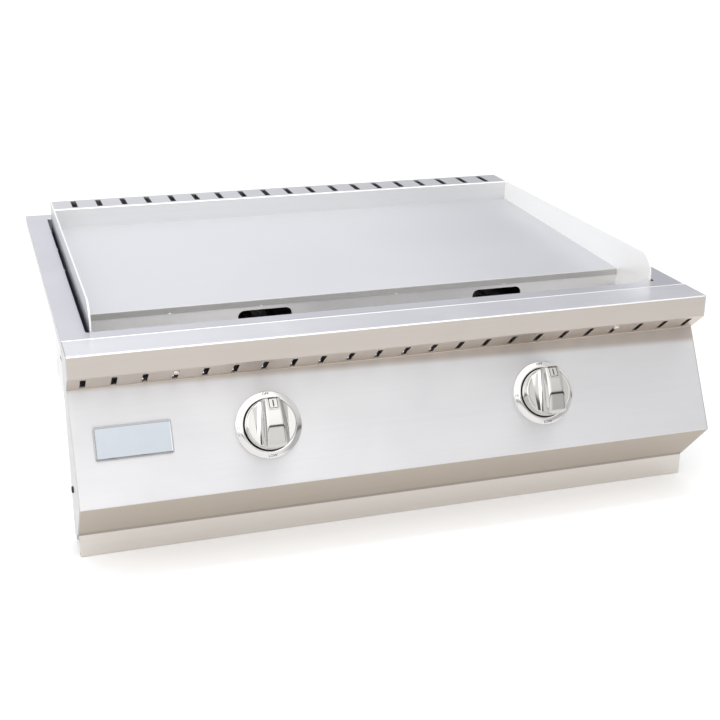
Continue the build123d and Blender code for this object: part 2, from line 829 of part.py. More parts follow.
with BuildPart() as manifold_cap:
    with BuildSketch(manifold_plane.offset(-manifold_half)):
        RectangleRounded(manifold_size, manifold_size, manifold_corner)
    extrude(amount=-end_plate)
manifold_cap.part.label = "manifold_cap"
export_step(manifold_cap.part, "parts/manifold_cap.step")

# Gussets that hold the manifold on the bulkhead
gusset_edge = manifold_size / 2 - gusset_inset
gusset_high = manifold_plane.from_local_coords((gusset_edge, -manifold_size / 2, 0))
gusset_low = manifold_plane.from_local_coords((-gusset_edge, -manifold_size / 2, 0))
with BuildPart() as manifold_gussets:
    for side, sign, align in SIDES:
        with BuildSketch(Plane.YZ.offset(sign * gusset_spacing / 2)):
            with BuildLine():
                Polyline(
                    (gusset_high.Y, gusset_high.Z),
                    (bulkhead_y, gusset_high.Z),
                    (bulkhead_y, gusset_low.Z - gusset_edge),
                    (gusset_low.Y, gusset_low.Z),
                    close=True,
                )
            make_face()
        extrude(amount=gusset_thickness / 2, both=True)
manifold_gussets.part.label = "manifold_gussets"
export_step(manifold_gussets.part, "parts/manifold_gussets.step")

# Inlet pipe from the manifold's right end, back and down to the coupling
inlet_y = manifold_y + pipe_setback
coupling_top = coupling_clear + coupling_length
pipe_points = [
    (inlet_x - pipe_reach, manifold_y, manifold_z),
    (inlet_x, manifold_y, manifold_z),
    (inlet_x, inlet_y, manifold_z),
    (inlet_x, inlet_y, coupling_top - pipe_socket),
]
with BuildPart() as inlet_pipe:
    with BuildLine() as pipe_route:
        FilletPolyline(*pipe_points, radius=pipe_bend)
    with BuildSketch(Plane(origin=pipe_route.line @ 0, z_dir=pipe_route.line % 0)):
        Circle(pipe_radius)
        Circle(pipe_bore, mode=Mode.SUBTRACT)
    sweep(path=pipe_route.line)
    with BuildSketch(manifold_plane.offset(manifold_half)):
        RectangleRounded(manifold_size, manifold_size, manifold_corner)
        Circle(pipe_bore, mode=Mode.SUBTRACT)
    extrude(amount=end_plate)
inlet_pipe.part.label = "inlet_pipe"
export_step(inlet_pipe.part, "parts/inlet_pipe.step")

# Inlet coupling: hexagon with the pipe's socket above and the threaded inlet below
with BuildPart() as inlet_coupling:
    with BuildSketch(Plane.XY.offset(coupling_clear)):
        with Locations((inlet_x, inlet_y)):
            RegularPolygon(coupling_flats / 2, 6, major_radius=False)
    extrude(amount=coupling_length)
    with BuildSketch(Plane.XY.offset(coupling_clear)):
        with Locations((inlet_x, inlet_y)):
            Circle(inlet_radius)
    extrude(amount=inlet_depth, mode=Mode.SUBTRACT)
    with BuildSketch(Plane.XY.offset(coupling_top)):
        with Locations((inlet_x, inlet_y)):
            Circle(pipe_radius + pipe_fit)
    extrude(amount=-pipe_socket, mode=Mode.SUBTRACT)
    with BuildSketch(Plane.XY.offset(coupling_clear)):
        with Locations((inlet_x, inlet_y)):
            Circle(pipe_bore)
    extrude(amount=coupling_length, mode=Mode.SUBTRACT)
inlet_coupling.part.label = "inlet_coupling"
export_step(inlet_coupling.part, "parts/inlet_coupling.step")

# Valves, knobs and ignition, one set for each burner
for side, sign, align in SIDES:
    spot = knob_spot(sign)
    section = axis_section(spot)
    knob_axis = Axis(spot.origin, spot.z_dir)
    burner_x = sign * knob_half
    neck_plane = Plane(origin=spot.from_local_coords((0, 0, -manifold_depth)), z_dir=-spot.y_dir)
    outlet_plane = Plane(origin=(burner_x, outlet_y, burner_z), z_dir=(0, 1, 0))

    # Valve body: barrel, neck down to the manifold and outlet back to the orifice
    with BuildPart(spot) as valve_body:
        with Locations((0, 0, -valve_back)):
            Cylinder(valve_radius, valve_back - cover_back, align=FROM_BASE)
        for radius, reach, mode in (
            (neck_radius, outlet_radius, Mode.ADD),
            (gas_bore, gas_bore, Mode.SUBTRACT),
        ):
            if mode == Mode.SUBTRACT:
                with Locations((0, 0, -cover_back)):
                    plug_bore = valve_back - plug_floor - cover_back
                    Cylinder(plug_radius + plug_fit, plug_bore, align=FROM_TOP, mode=mode)
            with BuildSketch(neck_plane):
                Circle(radius)
            extrude(amount=manifold_down - manifold_size / 2, mode=mode)
            with BuildSketch(outlet_plane):
                Circle(reach)
            extrude(amount=outlet_length, mode=mode)
    valve_body.part.label = f"{side}_valve_body"
    export_step(valve_body.part, f"parts/{side}_valve_body.step")

    with BuildPart(spot) as valve_cover:
        with Locations((0, 0, -cover_back)):
            Cylinder(cover_radius, cover_thickness, align=FROM_BASE)
            hole_depth = 2 * cover_thickness
            Cylinder(stem_radius + cover_hole_fit, hole_depth, align=FROM_BASE, mode=Mode.SUBTRACT)
    valve_cover.part.label = f"{side}_valve_cover"
    export_step(valve_cover.part, f"parts/{side}_valve_cover.step")

    # Orifice: brass spud on the outlet, its jet inside the burner's mouth
    with BuildPart(outlet_plane.offset(outlet_length)) as orifice:
        Cone(orifice_radius, orifice_tip, orifice_length, align=FROM_BASE)
        Cylinder(orifice_jet, 2 * orifice_length, mode=Mode.SUBTRACT)
    orifice.part.label = f"{side}_orifice"
    export_step(orifice.part, f"parts/{side}_orifice.step")

    # Valve plug: turns in the body, with a flatted well for the stem and a cross port
    plug_front = cover_back + plug_end_gap
    plug_length = valve_back - plug_floor - plug_end_gap - plug_front
    with BuildPart(spot) as valve_plug:
        with Locations((0, 0, -plug_front)):
            Cylinder(plug_radius, plug_length, align=FROM_TOP)
        well = d_section(spot.offset(-stem_well), stem_radius + stem_fit, stem_flat + stem_fit)
        extrude(well, amount=stem_well, mode=Mode.SUBTRACT)
        cross_origin = spot.from_local_coords((0, 0, -outlet_depth))
        with BuildSketch(Plane(origin=cross_origin, z_dir=spot.x_dir)):
            Circle(plug_port)
        extrude(amount=2 * plug_radius, both=True, mode=Mode.SUBTRACT)
    valve_plug.part.label = f"{side}_valve_plug"
    export_step(valve_plug.part, f"parts/{side}_valve_plug.step")

    with BuildPart() as stem:
        stem_section = d_section(spot.offset(-stem_depth), stem_radius, stem_flat)
        extrude(stem_section, amount=stem_depth + stem_reach)
    stem.part.label = f"{side}_stem"
    export_step(stem.part, f"parts/{side}_stem.step")

    # Return spring in the plug's well, behind the stem
    coil_start = stem_well - spring_clear - spring_wire
    coil_length = coil_start - stem_depth - spring_clear - spring_wire
    with BuildPart() as return_spring:
        with BuildLine() as coil:
            Helix(
                pitch=coil_length / spring_turns,
                height=coil_length,
                radius=spring_radius,
                center=spot.from_local_coords((0, 0, -coil_start)),
                direction=spot.z_dir,
            )
        with BuildSketch(Plane(origin=coil.line @ 0, z_dir=coil.line % 0)):
            Circle(spring_wire)
        sweep(path=coil.line, is_frenet=True)
    return_spring.part.label = f"{side}_return_spring"
    export_step(return_spring.part, f"parts/{side}_return_spring.step")

    # Bezel: conical dial ring with a floor, held by two screws under the knob
    bezel_outline = [
        (bezel_bore, 0),
        (bezel_radius, 0),
        (bezel_radius, bezel_lip),
        (bezel_inner + bezel_rim, bezel_height),
        (bezel_inner, bezel_height),
        (bezel_inner, bezel_floor),
        (bezel_bore, bezel_floor),
    ]
    with BuildPart() as bezel:
        with BuildSketch(section):
            with BuildLine():
                Polyline(*bezel_outline, close=True)
            make_face()
        revolve(axis=knob_axis)
        with BuildSketch(*bezel_screw_planes(spot, 0)):
            Circle(screw_radius + screw_fit)
        extrude(amount=2 * bezel_floor, mode=Mode.SUBTRACT)
    bezel.part.label = f"{side}_bezel"
    export_step(bezel.part, f"parts/{side}_bezel.step")

    # Knob: hollow skirt and hub with a raised grip bar whose flanks are hollowed
    with BuildPart(spot) as knob:
        with Locations((0, 0, knob_start)):
            Cylinder(knob_radius, knob_face - knob_start, align=FROM_BASE)
        fillet(knob.edges().sort_by(knob_axis)[-1], knob_edge)
        with BuildSketch(section):
            with BuildLine():
                Polyline((-grip_base, knob_face), (-grip_base, knob_face - knob_edge))
                Polyline((-grip_base, knob_face - knob_edge), (grip_base, knob_face - knob_edge))
                Polyline((grip_base, knob_face - knob_edge), (grip_base, knob_face))
                SagittaArc((grip_base, knob_face), (grip_top, knob_height), grip_hollow)
                Polyline((grip_top, knob_height), (-grip_top, knob_height))
                SagittaArc((-grip_top, knob_height), (-grip_base, knob_face), grip_hollow)
            make_face()
        extrude(amount=knob_radius, both=True)
        with Locations((0, 0, knob_start)):
            Cylinder(knob_radius, knob_height, align=FROM_BASE, mode=Mode.INTERSECT)
        with Locations(Location((0, 0, knob_height - grip_crown), (0, 90, 0))):
            Cylinder(grip_crown, 2 * knob_height, mode=Mode.INTERSECT)
        with Locations((0, 0, knob_start)):
            cavity = knob_face - knob_wall - knob_start
            Cylinder(knob_radius - knob_wall, cavity, align=FROM_BASE, mode=Mode.SUBTRACT)
        with Locations((0, 0, knob_start + knob_hub_recess)):
            Cylinder(knob_hub, knob_face - knob_start - knob_hub_recess, align=FROM_BASE)
        socket = d_section(spot, stem_radius + stem_fit, stem_flat + stem_fit)
        extrude(socket, amount=stem_reach + stem_end_gap, mode=Mode.SUBTRACT)
    knob.part.label = f"{side}_knob"
    export_step(knob.part, f"parts/{side}_knob.step")

    # Piezo igniter clipped beside the valve
    piezo_x = sign * (knob_half - piezo_offset)
    with BuildPart() as piezo:
        with Locations((piezo_x, piezo_y, piezo_z)):
            Box(piezo_width, piezo_depth, piezo_height)
        fillet(piezo.edges().filter_by(Axis.Y), piezo_round)
    piezo.part.label = f"{side}_piezo"
    export_step(piezo.part, f"parts/{side}_piezo.step")

    # Electrode: ceramic rod and spark wire on a tab over the burner's cross tube
    ceramic_y = cross_y - ceramic_front
    with BuildPart() as electrode:
        with Locations((piezo_x, cross_y, tab_z)):
            Box(electrode_tab, electrode_tab, electrode_tab_thickness, align=FROM_BASE)
        with BuildSketch(Plane.XZ.offset(-ceramic_y)):
            with Locations((piezo_x, ceramic_z)):
                Circle(ceramic_radius)
        extrude(amount=-ceramic_length)
        with BuildSketch(Plane.XZ.offset(-ceramic_y - ceramic_length)):
            with Locations((piezo_x, ceramic_z)):
                Circle(electrode_radius)
        extrude(amount=-electrode_length)
    electrode.part.label = f"{side}_electrode"
    export_step(electrode.part, f"parts/{side}_electrode.step")

    # Igniter lead from the piezo through the bulkhead up to the ceramic rod
    lead_points = [
        (piezo_x, lead_y, piezo_z),
        (piezo_x, lead_y + lead_first_run, piezo_z),
        (piezo_x, lead_y + lead_first_run + lead_slope_run, ceramic_z),
        (piezo_x, ceramic_y, ceramic_z),
    ]
    lead_turn = atan2(ceramic_z - piezo_z, lead_slope_run)
    shortest_run = min(lead_first_run, lead_slope_run, ceramic_y - lead_points[2][1])
    lead_bend = arc_share * shortest_run / tan(lead_turn / 2)
    with BuildPart() as igniter_lead:
        with BuildLine() as lead_route:
            FilletPolyline(*lead_points, radius=lead_bend)
        with BuildSketch(Plane(origin=lead_route.line @ 0, z_dir=lead_route.line % 0)):
            Circle(lead_radius)
        sweep(path=lead_route.line)
    igniter_lead.part.label = f"{side}_igniter_lead"
    export_step(igniter_lead.part, f"parts/{side}_igniter_lead.step")

# Screws under the knobs that hold the bezels on the panel
with BuildPart() as bezel_screws:
    for side, sign, align in SIDES:
        for plane in bezel_screw_planes(knob_spot(sign), bezel_floor):
            add(pan_head_screw(plane, short_screw_length))
bezel_screws.part.label = "bezel_screws"
export_step(bezel_screws.part, "parts/bezel_screws.step")

# Blank nameplate with a raised rim
badge_plane = moved(panel_plane, -(width / 2 - badge_inset - badge_width / 2), -badge_down)
with BuildPart() as nameplate:
    with BuildSketch(badge_plane):
        RectangleRounded(badge_width, badge_height, badge_corner)
    extrude(amount=badge_thickness)
    with BuildSketch(badge_plane.offset(badge_thickness)):
        inner_size = (badge_width - 2 * badge_rim, badge_height - 2 * badge_rim)
        RectangleRounded(*inner_size, badge_corner / 2)
    extrude(amount=-badge_recess, mode=Mode.SUBTRACT)
nameplate.part.label = "nameplate"
export_step(nameplate.part, "parts/nameplate.step")
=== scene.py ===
"""Dresses the packed built-in gas griddle: finishes, trim, welds, springs, rings, knobs, nameplate, studio."""

import json
from math import atan2, cos, pi, radians, sin

import bmesh
import bpy
from bpy.props import FloatProperty, FloatVectorProperty, IntProperty, PointerProperty
from mathutils import Matrix, Vector


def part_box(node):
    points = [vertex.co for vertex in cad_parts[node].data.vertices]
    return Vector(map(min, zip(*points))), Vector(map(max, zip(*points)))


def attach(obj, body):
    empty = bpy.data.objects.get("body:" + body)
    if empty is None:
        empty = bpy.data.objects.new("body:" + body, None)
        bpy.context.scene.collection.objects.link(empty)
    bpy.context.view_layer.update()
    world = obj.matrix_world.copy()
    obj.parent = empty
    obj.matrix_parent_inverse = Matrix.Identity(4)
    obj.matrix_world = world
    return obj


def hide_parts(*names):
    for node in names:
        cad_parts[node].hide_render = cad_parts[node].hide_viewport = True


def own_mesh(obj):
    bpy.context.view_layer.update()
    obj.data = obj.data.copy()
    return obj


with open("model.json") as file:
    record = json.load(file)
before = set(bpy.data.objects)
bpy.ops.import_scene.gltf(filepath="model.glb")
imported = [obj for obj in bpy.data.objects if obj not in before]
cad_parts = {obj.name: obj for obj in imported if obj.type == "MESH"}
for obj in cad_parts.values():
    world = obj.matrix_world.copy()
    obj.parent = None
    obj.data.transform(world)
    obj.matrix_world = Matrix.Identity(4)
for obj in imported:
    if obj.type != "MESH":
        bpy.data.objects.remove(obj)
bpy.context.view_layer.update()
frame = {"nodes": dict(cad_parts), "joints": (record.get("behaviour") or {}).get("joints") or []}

bl_info = {
    "name": "Built-in gas griddle",
    "version": (1, 0, 0),
    "blender": (4, 5, 0),
    "location": "View3D > Sidebar > Griddle",
    "description": "Finishes, knobs, dial rings, nameplate, welds and studio for a built-in gas griddle",
    "category": "Object",
}

MM = 0.001
EPSILON = 0.001 * MM
SIDES = ("left", "right")
JOINTS = {joint["name"]: joint for joint in frame["joints"]}
KNOB_LOW, KNOB_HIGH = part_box("left_knob")
BEZEL_LOW, BEZEL_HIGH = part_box("left_bezel")
APRON_LOW, APRON_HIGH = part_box("front_apron")
RAIL_LOW, RAIL_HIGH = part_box("front_rail")
REAR_LOW, REAR_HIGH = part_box("rear_splash")

# Steps of the round shapes, and the angle from which an edge is sharp.
ROUND_STEPS = 144
FLANK_STEPS, EDGE_STEPS, FACE_STEPS = 14, 8, 4
DOME_STEPS, LIP_STEPS = 14, 5
CORNER_STEPS, RIM_STEPS = 8, 3
COIL_RINGS, COIL_SIDES = 144, 10
ROD_SIDES = 16
SHARP_ANGLE = radians(35)

# Knobs: skirt, taper and flanks of the grip bar, pad and pointer line.
SKIRT_DRAFT = 0.3 * MM
SKIRT_LOOPS = (0.8 * MM, 1.6 * MM)
FACE_SINK = 0.1 * MM
FACE_TAPER = 0.14
FOOT_TAPER = -0.087
FLANK_POWER = 3.0
GRIP_INSET = 0.25 * MM
PAD_DEPTH, PAD_GAP, PAD_EDGE = 2.4 * MM, 1.0 * MM, 0.35 * MM
PAD_CORNERS = (3.0 * MM, 1.0 * MM)
PAD_BORDER, PAD_LINE = 0.9 * MM, 0.8 * MM
POINTER_SIZE = (1.5 * MM, 7.6 * MM, 1.0 * MM)
POINTER_CORNERS = (0.4 * MM, 0.4 * MM)
POINTER_EDGE, POINTER_SINK = 0.1 * MM, 0.45 * MM

# Dial rings: dome, lip, inner edge (inwards and down from the crest), well painted dark as shade, and
# lettering.
DOME_POWER = 1.4
CREST_WIDTH = 1.6 * MM
LIP_ROUND = 0.8 * MM
CREST_ROUND = ((0.4 * MM, 0.1 * MM), (0.1 * MM, 0.4 * MM), (0.0, 0.9 * MM))
WELL_MARGIN, WELL_DROP = 0.1 * MM, 0.8 * MM
DIAL_MARKS = (("OFF", 90.0), ("HI", 180.0), ("LOW", 270.0))
MARK_FROM, MARK_TO = 0.40, 0.50
LETTER_SCALE, LETTER_DEPTH = 1.4, 0.18 * MM

# Nameplate: round of its rim and width of the slope down to the field.
BADGE_EDGE, BADGE_SLOPE = 0.3 * MM, 0.9 * MM

# Vent strip: slots, hem and tabs, back and down from the rail's top edge; a tab's bars by X, width, Y, depth.
VENT_COUNT, VENT_PITCH = 23, 33.3 * MM
HEM_BACK, HEM_DROP, HEM_RADIUS = 25.4 * MM, 47.5 * MM, 0.5 * MM
TAB_FIRST, TAB_LAST = 2, 12
TAB_BACK, TAB_DROP, TAB_SHIFT, TAB_THICK = 22.7 * MM, 41.1 * MM, 1.0 * MM, 1.6 * MM
TAB_BARS = ((13 * MM, 26 * MM, 2 * MM, 4 * MM), (16 * MM, 14 * MM, -1.75 * MM, 4 * MM))

# Welds: rippled tacks along the apron, beads down the rear corners.
WELD_PLACES = (-0.246, -0.135, 0.038, 0.184)
WELD_LENGTH, WELD_RADIUS = 3.2 * MM, 1.3 * MM
WELD_RIPPLE, WELD_WAVES = 0.10, 7
BEAD_RADIUS, BEAD_LENGTH, BEAD_DROP = 1.1 * MM, 28 * MM, 15 * MM

# Finishes: depth of the brush lines, unevenness of coatings, smeared grain of the apron, turned grain of brass.
RELIEF_DEPTH = 0.1 * MM
COATING_SWING = 0.12
SMEARED = (14.0, 14.0, 4.0)
TURNED = (1500.0, 1500.0, 90.0)
# Painted shade along the kick plate's top seam, and the real heat tint of the burners' lower faces.
SEAM_SHADE = (0.34, 0.31, 0.28)
HEAT_TINT = (0.36, 0.31, 0.27)
WHITE = (1.0, 1.0, 1.0, 1.0)

# Sockets of a Mix node that mixes colours.
MIX_A, MIX_B, MIX_OUT = 6, 7, 2


def span(along, start, end, most=1.0):
    """Values of a mask: its direction, where along it the mask starts and ends, and its largest share."""
    return {"Along": along, "Start": start, "End": end, "Share": most}


# Masks by the way that a face looks, where 1 is straight along. The down and front masks carry painted floor
# reflection and shade on the panel, rail and vent strip, and the real heat tint of the burners; the bend mask
# carries a painted highlight.
DOWN = span((0.0, 0.0, -1.0), 0.30, 0.60)
FRONT = span((0.0, -1.0, 0.0), 0.30, 0.60)
SAWN = span((0.0, 0.0, 1.0), 0.98, 0.90)
# Painted highlight on faces that look up and forward, along the bends.
BEND_HIGHLIGHT = span((0.0, -0.707, 0.707), 0.80, 0.95)
INNER_FACES = {side: span((turn, 0.0, 0.0), -0.6, -0.3) for side, turn in zip(SIDES, (1.0, -1.0))}

# Masks by place. They carry painted shade on the panel under the vent strip, on the plate's right and along the
# kick plate's seam, bound the painted shade on the splash walls' outer faces below the wall top, and carry
# painted light at the apron's ends.
STRIP_SHADE = span((0.02, 0.0, 1.0), 187 * MM, 195 * MM, 0.9)
WALL_TOP = span((0.0, 0.0, 1.0), 256 * MM, 259 * MM)
# Painted light: the apron lighter towards its left and right ends.
LEFT_END_LIGHT = span((-1.0, 0.0, 0.0), 50 * MM, 160 * MM)
RIGHT_END_LIGHT = span((1.0, 0.0, 0.0), 90 * MM, 240 * MM, 0.8)
# Painted shade: the plate darker towards its right.
PLATE_RIGHT_SHADE = span((1.0, 0.0, 0.0), 0.0, 345 * MM)
# Painted shade: a thin dark band at the top of the kick plate, under the panel.
SEAM = span((0.0, 0.0, 1.0), 27.2 * MM, 27.6 * MM)

# Sky: colours from level to overhead, strengths from left to right, and a dark line that the steel mirrors.
SKY_BACK = (
    (0.0, (0.46, 0.46, 0.48)),
    (0.14, (0.36, 0.36, 0.385)),
    (0.24, (0.38, 0.38, 0.405)),
    (0.34, (0.53, 0.53, 0.555)),
    (0.50, (0.60, 0.60, 0.62)),
    (1.0, (0.60, 0.60, 0.60)),
)
SKY_FRONT = (
    (0.0, (0.60, 0.59, 0.58)),
    (0.10, (0.62, 0.615, 0.61)),
    (0.30, (0.62, 0.615, 0.61)),
    (0.41, (0.63, 0.625, 0.62)),
    (0.46, (0.86, 0.855, 0.85)),
    (0.68, (0.92, 0.91, 0.905)),
    (0.80, (0.90, 0.89, 0.885)),
    (1.0, (0.70, 0.695, 0.69)),
)
BACK_SIDE = (
    (0.0, 0.78), (0.15, 0.75), (0.35, 0.68), (0.53, 0.63), (0.61, 0.56),
    (0.67, 0.455), (0.74, 0.375), (0.88, 0.42), (0.97, 0.60), (1.0, 0.60),
)
FRONT_SIDE = (
    (0.0, 0.76), (0.15, 0.72), (0.35, 0.67), (0.55, 0.68), (0.61, 0.68),
    (0.665, 0.61), (0.72, 0.41), (0.75, 0.33), (0.88, 0.38), (0.97, 0.60), (1.0, 0.60),
)
SKY_BLEND = 0.25
NOTCH_SLOPE = 0.475
NOTCH = {"From Min": 0.018, "From Max": 0.045, "To Min": 0.1, "To Max": 1.0}

# Stage: floor, camera and lamps, each with its place, target, size and the setting of its power.
FLOOR_SIZE, FLOOR_ROUGHNESS, FLOOR_SHINE = 30.0, 0.9, 0.1
SENSOR_WIDTH, FAR_CLIP = 36.0, 200.0
LAMPS = (
    ("overhead lamp", (0.45, -0.1, 2.3), (0.45, -0.1, 0.2), (3.2, 0.3), "key"),
    ("left lamp", (-2.5, -0.5, 0.9), (0.0, -0.2, 0.2), (1.5, 1.1), "left"),
    ("front lamp", (-1.5, -2.6, 2.0), (0.0, -0.2, 0.15), (1.8, 1.4), "front"),
)


def number(name, default, description, **limits):
    """A number that a user can change."""
    return FloatProperty(name=name, description=description, default=default, **limits)


def length(name, default, description):
    """A size in metres that a user can change."""
    return number(name, default, description, min=0.0, precision=5, unit="LENGTH")


def share(name, default, description):
    """A value from nothing to all."""
    return number(name, default, description, min=0.0, max=1.0)


def colour(name, default, description):
    """A colour that a user can change."""
    return FloatVectorProperty(
        name=name, description=description, default=default, min=0.0, max=1.0, size=3, subtype="COLOR"
    )


class GriddleFinish(bpy.types.PropertyGroup):
    """Colours and grain of the griddle's surfaces."""

    sheet: colour("Panel", (0.76, 0.76, 0.775), "Brushed steel of the panel")
    # Painted floor reflection and shade: a darker, warmer colour for the panel's down-facing fold.
    under: colour("Panel fold", (0.495, 0.445, 0.39), "Painted floor reflection and shade on the panel's fold under the belly")
    rail: colour("Front rail", (0.85, 0.855, 0.885), "Brushed steel of the front rail")
    cap: colour("Outer sides", (0.53, 0.53, 0.525), "Brushed steel of the end caps and outer sides")
    frame: colour("Top frame", (0.69, 0.695, 0.735), "Brushed steel of the top frame")
    shade: colour("Panel shade", (0.52, 0.465, 0.42), "Shade of the panel's upper edge under the vent strip")
    # Painted floor reflection: a darker, warmer colour for the rail's front-facing drop.
    drop: colour("Rail drop", (0.515, 0.475, 0.435), "Painted floor reflection on the rail's drop")
    # Painted floor reflection and shade: a darker, warmer colour for the rail's down-facing vent strip, also
    # used for its hem.
    vent: colour("Vent strip", (0.64, 0.575, 0.51), "Painted floor reflection and shade on the vent strip")
    # Partly painted: the kick plate's own steel, made darker and warmer as a painted floor reflection.
    kick: colour("Kick plate", (0.675, 0.64, 0.605), "Brushed steel of the kick plate, with a painted floor reflection")
    plate: colour("Plate", (0.735, 0.745, 0.77), "Ground steel of the griddle plate")
    # Painted shade: a darker colour towards the plate's right.
    plate_right_shade: colour("Plate, right", (0.625, 0.635, 0.66), "Painted shade towards the plate's right")
    edge: colour("Plate edge", (0.60, 0.595, 0.575), "Sawn edges of the griddle plate")
    ledge: colour("Ledge", (0.75, 0.757, 0.775), "Brushed steel of the slotted ledge")
    rear: colour("Rear splash", (0.76, 0.762, 0.77), "Polished steel of the rear splash")
    apron: colour("Apron", (0.68, 0.672, 0.66), "Smeared steel of the front apron")
    # Painted light: a lighter colour at the apron's two ends.
    apron_end_light: colour("Apron ends", (0.95, 0.94, 0.92), "Painted light at the apron's two ends")
    wall: colour("Splash walls", (0.92, 0.92, 0.905), "Polished steel of the splash walls")
    outer: colour("Splash outside", (0.48, 0.49, 0.505), "Polished steel of the splash walls' outer faces")
    # Painted shade: the dark colour of the splash walls' outer faces below the wall top, in the narrow gap
    # beside them.
    gap_shade: colour("Soot", (0.24, 0.25, 0.285), "Painted shade on the splash walls' outer foot, in the gap")
    # Painted highlight: near white on the bends along the front edges.
    bend: colour("Bends", (0.98, 0.98, 0.98), "Painted highlight on the bends along the front edges")
    screw: colour("Rail screws", (0.72, 0.70, 0.67), "Plain steel of the rail's screws")
    firebox: colour("Firebox", (0.30, 0.30, 0.31), "Mill finish of the firebox sheets")
    burner: colour("Burners", (0.33, 0.31, 0.30), "Heat-stained steel of the burners")
    plated: colour("Plated steel", (0.58, 0.59, 0.60), "Zinc-plated gas line and small parts")
    brass: colour("Brass", (0.72, 0.53, 0.24), "Turned brass of the valves")
    chrome: colour("Chrome", (0.56, 0.555, 0.54), "Polished chrome of the knobs")
    ring: colour("Dial rings", (0.72, 0.71, 0.70), "Polished dial rings round the knobs")
    badge: colour("Nameplate field", (0.505, 0.545, 0.595), "Etched field of the bare nameplate")
    # Partly painted: polished steel, darkened as a painted reflection of dark surroundings.
    rim: colour("Nameplate rim", (0.36, 0.37, 0.385), "Polished rim of the nameplate, darkened as a painted reflection")
    # Partly painted: real ink of the marks and pointer lines, also used as painted shade in the dial wells and
    # on the nameplate's sides.
    ink_and_shade: colour("Ink", (0.03, 0.03, 0.035), "Filled marks, and painted shade in the dial wells and on the nameplate's sides")
    black: colour("Black screws", (0.05, 0.05, 0.055), "Blackened steel of the end cap screws")
    ceramic: colour("Ceramic", (0.86, 0.84, 0.79), "Glazed rods of the electrodes")
    plastic: colour("Black plastic", (0.02, 0.02, 0.022), "Igniter boxes and leads")
    grain_length: length("Grain length", 45 * MM, "Length of a brush line")
    grain_width: length("Grain width", 0.7 * MM, "Width of a brush line")


class KnobSizes(bpy.types.PropertyGroup):
    """Sizes of a knob and its dial ring; heights are over the panel."""

    radius: length("Skirt radius", (KNOB_HIGH.x - KNOB_LOW.x) / 2, "Radius of the knob's skirt")
    start: length("Skirt foot", 6 * MM, "Height of the skirt's lower edge")
    face: length("Skirt face", 22 * MM, "Height of the skirt's face")
    top: length("Grip top", 42.5 * MM, "Height of the grip bar's crest")
    wall: length("Skirt wall", 3.5 * MM, "Thickness of the hollow skirt")
    edge: length("Skirt edge", 1.8 * MM, "Round at the skirt's edge")
    grip_top: length("Grip half width", 9.8 * MM, "Half width of the grip bar's face")
    grip_base: length("Grip foot", 18.6 * MM, "Half width of the grip bar at the skirt")
    grip_edge: length("Grip edge", 2.4 * MM, "Round along the grip bar's face")
    crown: length("Grip crown", 85 * MM, "Radius of the grip bar's crest along its length")
    pad_width: length("Pad width", 12.6 * MM, "Width of the raised pad on the grip")
    pad_length: length("Pad length", 14.0 * MM, "Length of the raised pad on the grip")
    pad_height: length("Pad height", 0.9 * MM, "How far the pad stands out")
    ring_radius: length("Ring radius", (BEZEL_HIGH.x - BEZEL_LOW.x) / 2, "Outer radius of the dial ring")
    ring_inner: length("Ring bore", 29.3 * MM, "Radius of the dial ring's well")
    ring_height: length("Ring height", 7 * MM, "Height of the dial ring's crest")
    ring_lip: length("Ring lip", 5.4 * MM, "Height of the dial ring's outer lip")
    ring_floor: length("Ring floor", 1.2 * MM, "Thickness of the dial ring's floor")
    ring_bore: length("Stem hole", 7 * MM, "Radius of the stem hole in the ring's floor")
    letter: length("Letter height", 3.1 * MM, "Height of the dial's lettering")


class SpringSizes(bpy.types.PropertyGroup):
    """Sizes of a return spring behind a knob's stem."""

    depth: length("Depth", 31.35 * MM, "Depth of the spring's foot behind the panel's face")
    rest: length("Rest length", 8.7 * MM, "Length of the spring at rest")
    radius: length("Radius", 2.4 * MM, "Radius of the coil")
    wire: length("Wire", 0.35 * MM, "Radius of the wire")
    turns: IntProperty(name="Turns", description="Number of turns", default=6, min=1)
    pressed: share("Pressed", 0.54, "Share of its length that a pressed spring keeps")


class BadgeSizes(bpy.types.PropertyGroup):
    """Sizes of the bare nameplate."""

    width: length("Width", 84.5 * MM, "Width of the nameplate")
    height: length("Height", 36.5 * MM, "Height of the nameplate, up the panel")
    thickness: length("Thickness", 1.6 * MM, "Thickness of the nameplate")
    rim: length("Rim", 0.9 * MM, "Width of the raised rim")
    recess: length("Recess", 0.7 * MM, "Depth of the field below the rim")
    corner: length("Corner", 2.5 * MM, "Round of the corners")


class StudioSettings(bpy.types.PropertyGroup):
    """Camera, lamps and floor."""

    place: FloatVectorProperty(
        name="Camera place",
        description="Where the camera stands",
        default=(-0.4618, -1.5850, 0.7036),
        subtype="TRANSLATION",
        unit="LENGTH",
    )
    yaw: number("Yaw", 0.31058, "Turn to the right", subtype="ANGLE")
    pitch: number("Pitch", -0.35906, "Tilt up", subtype="ANGLE")
    roll: number("Roll", 0.00874, "Roll to the left", subtype="ANGLE")
    lens: number("Lens", 62.71, "Focal length in millimetres", min=1.0)
    floor: colour("Floor", (0.80, 0.80, 0.80), "Plain pale floor")
    glow: share("Floor glow", 0.22, "Light that the floor adds so that it reads as white")
    sky: number("Sky", 2.8, "Strength of the light all round", min=0.0)
    key: number("Overhead lamp", 8.5, "Power of the overhead lamp", min=0.0)
    left: number("Left lamp", 8.0, "Power of the lamp at the left", min=0.0)
    front: number("Front lamp", 4.0, "Power of the front lamp", min=0.0)


def add_node(tree, kind, values=None, **settings):
    """Adds a node, with settings on the node and values on its inputs."""
    node = tree.nodes.new(kind)
    for key, value in settings.items():
        setattr(node, key, value)
    for key, value in (values or {}).items():
        node.inputs[key].default_value = value
    return node


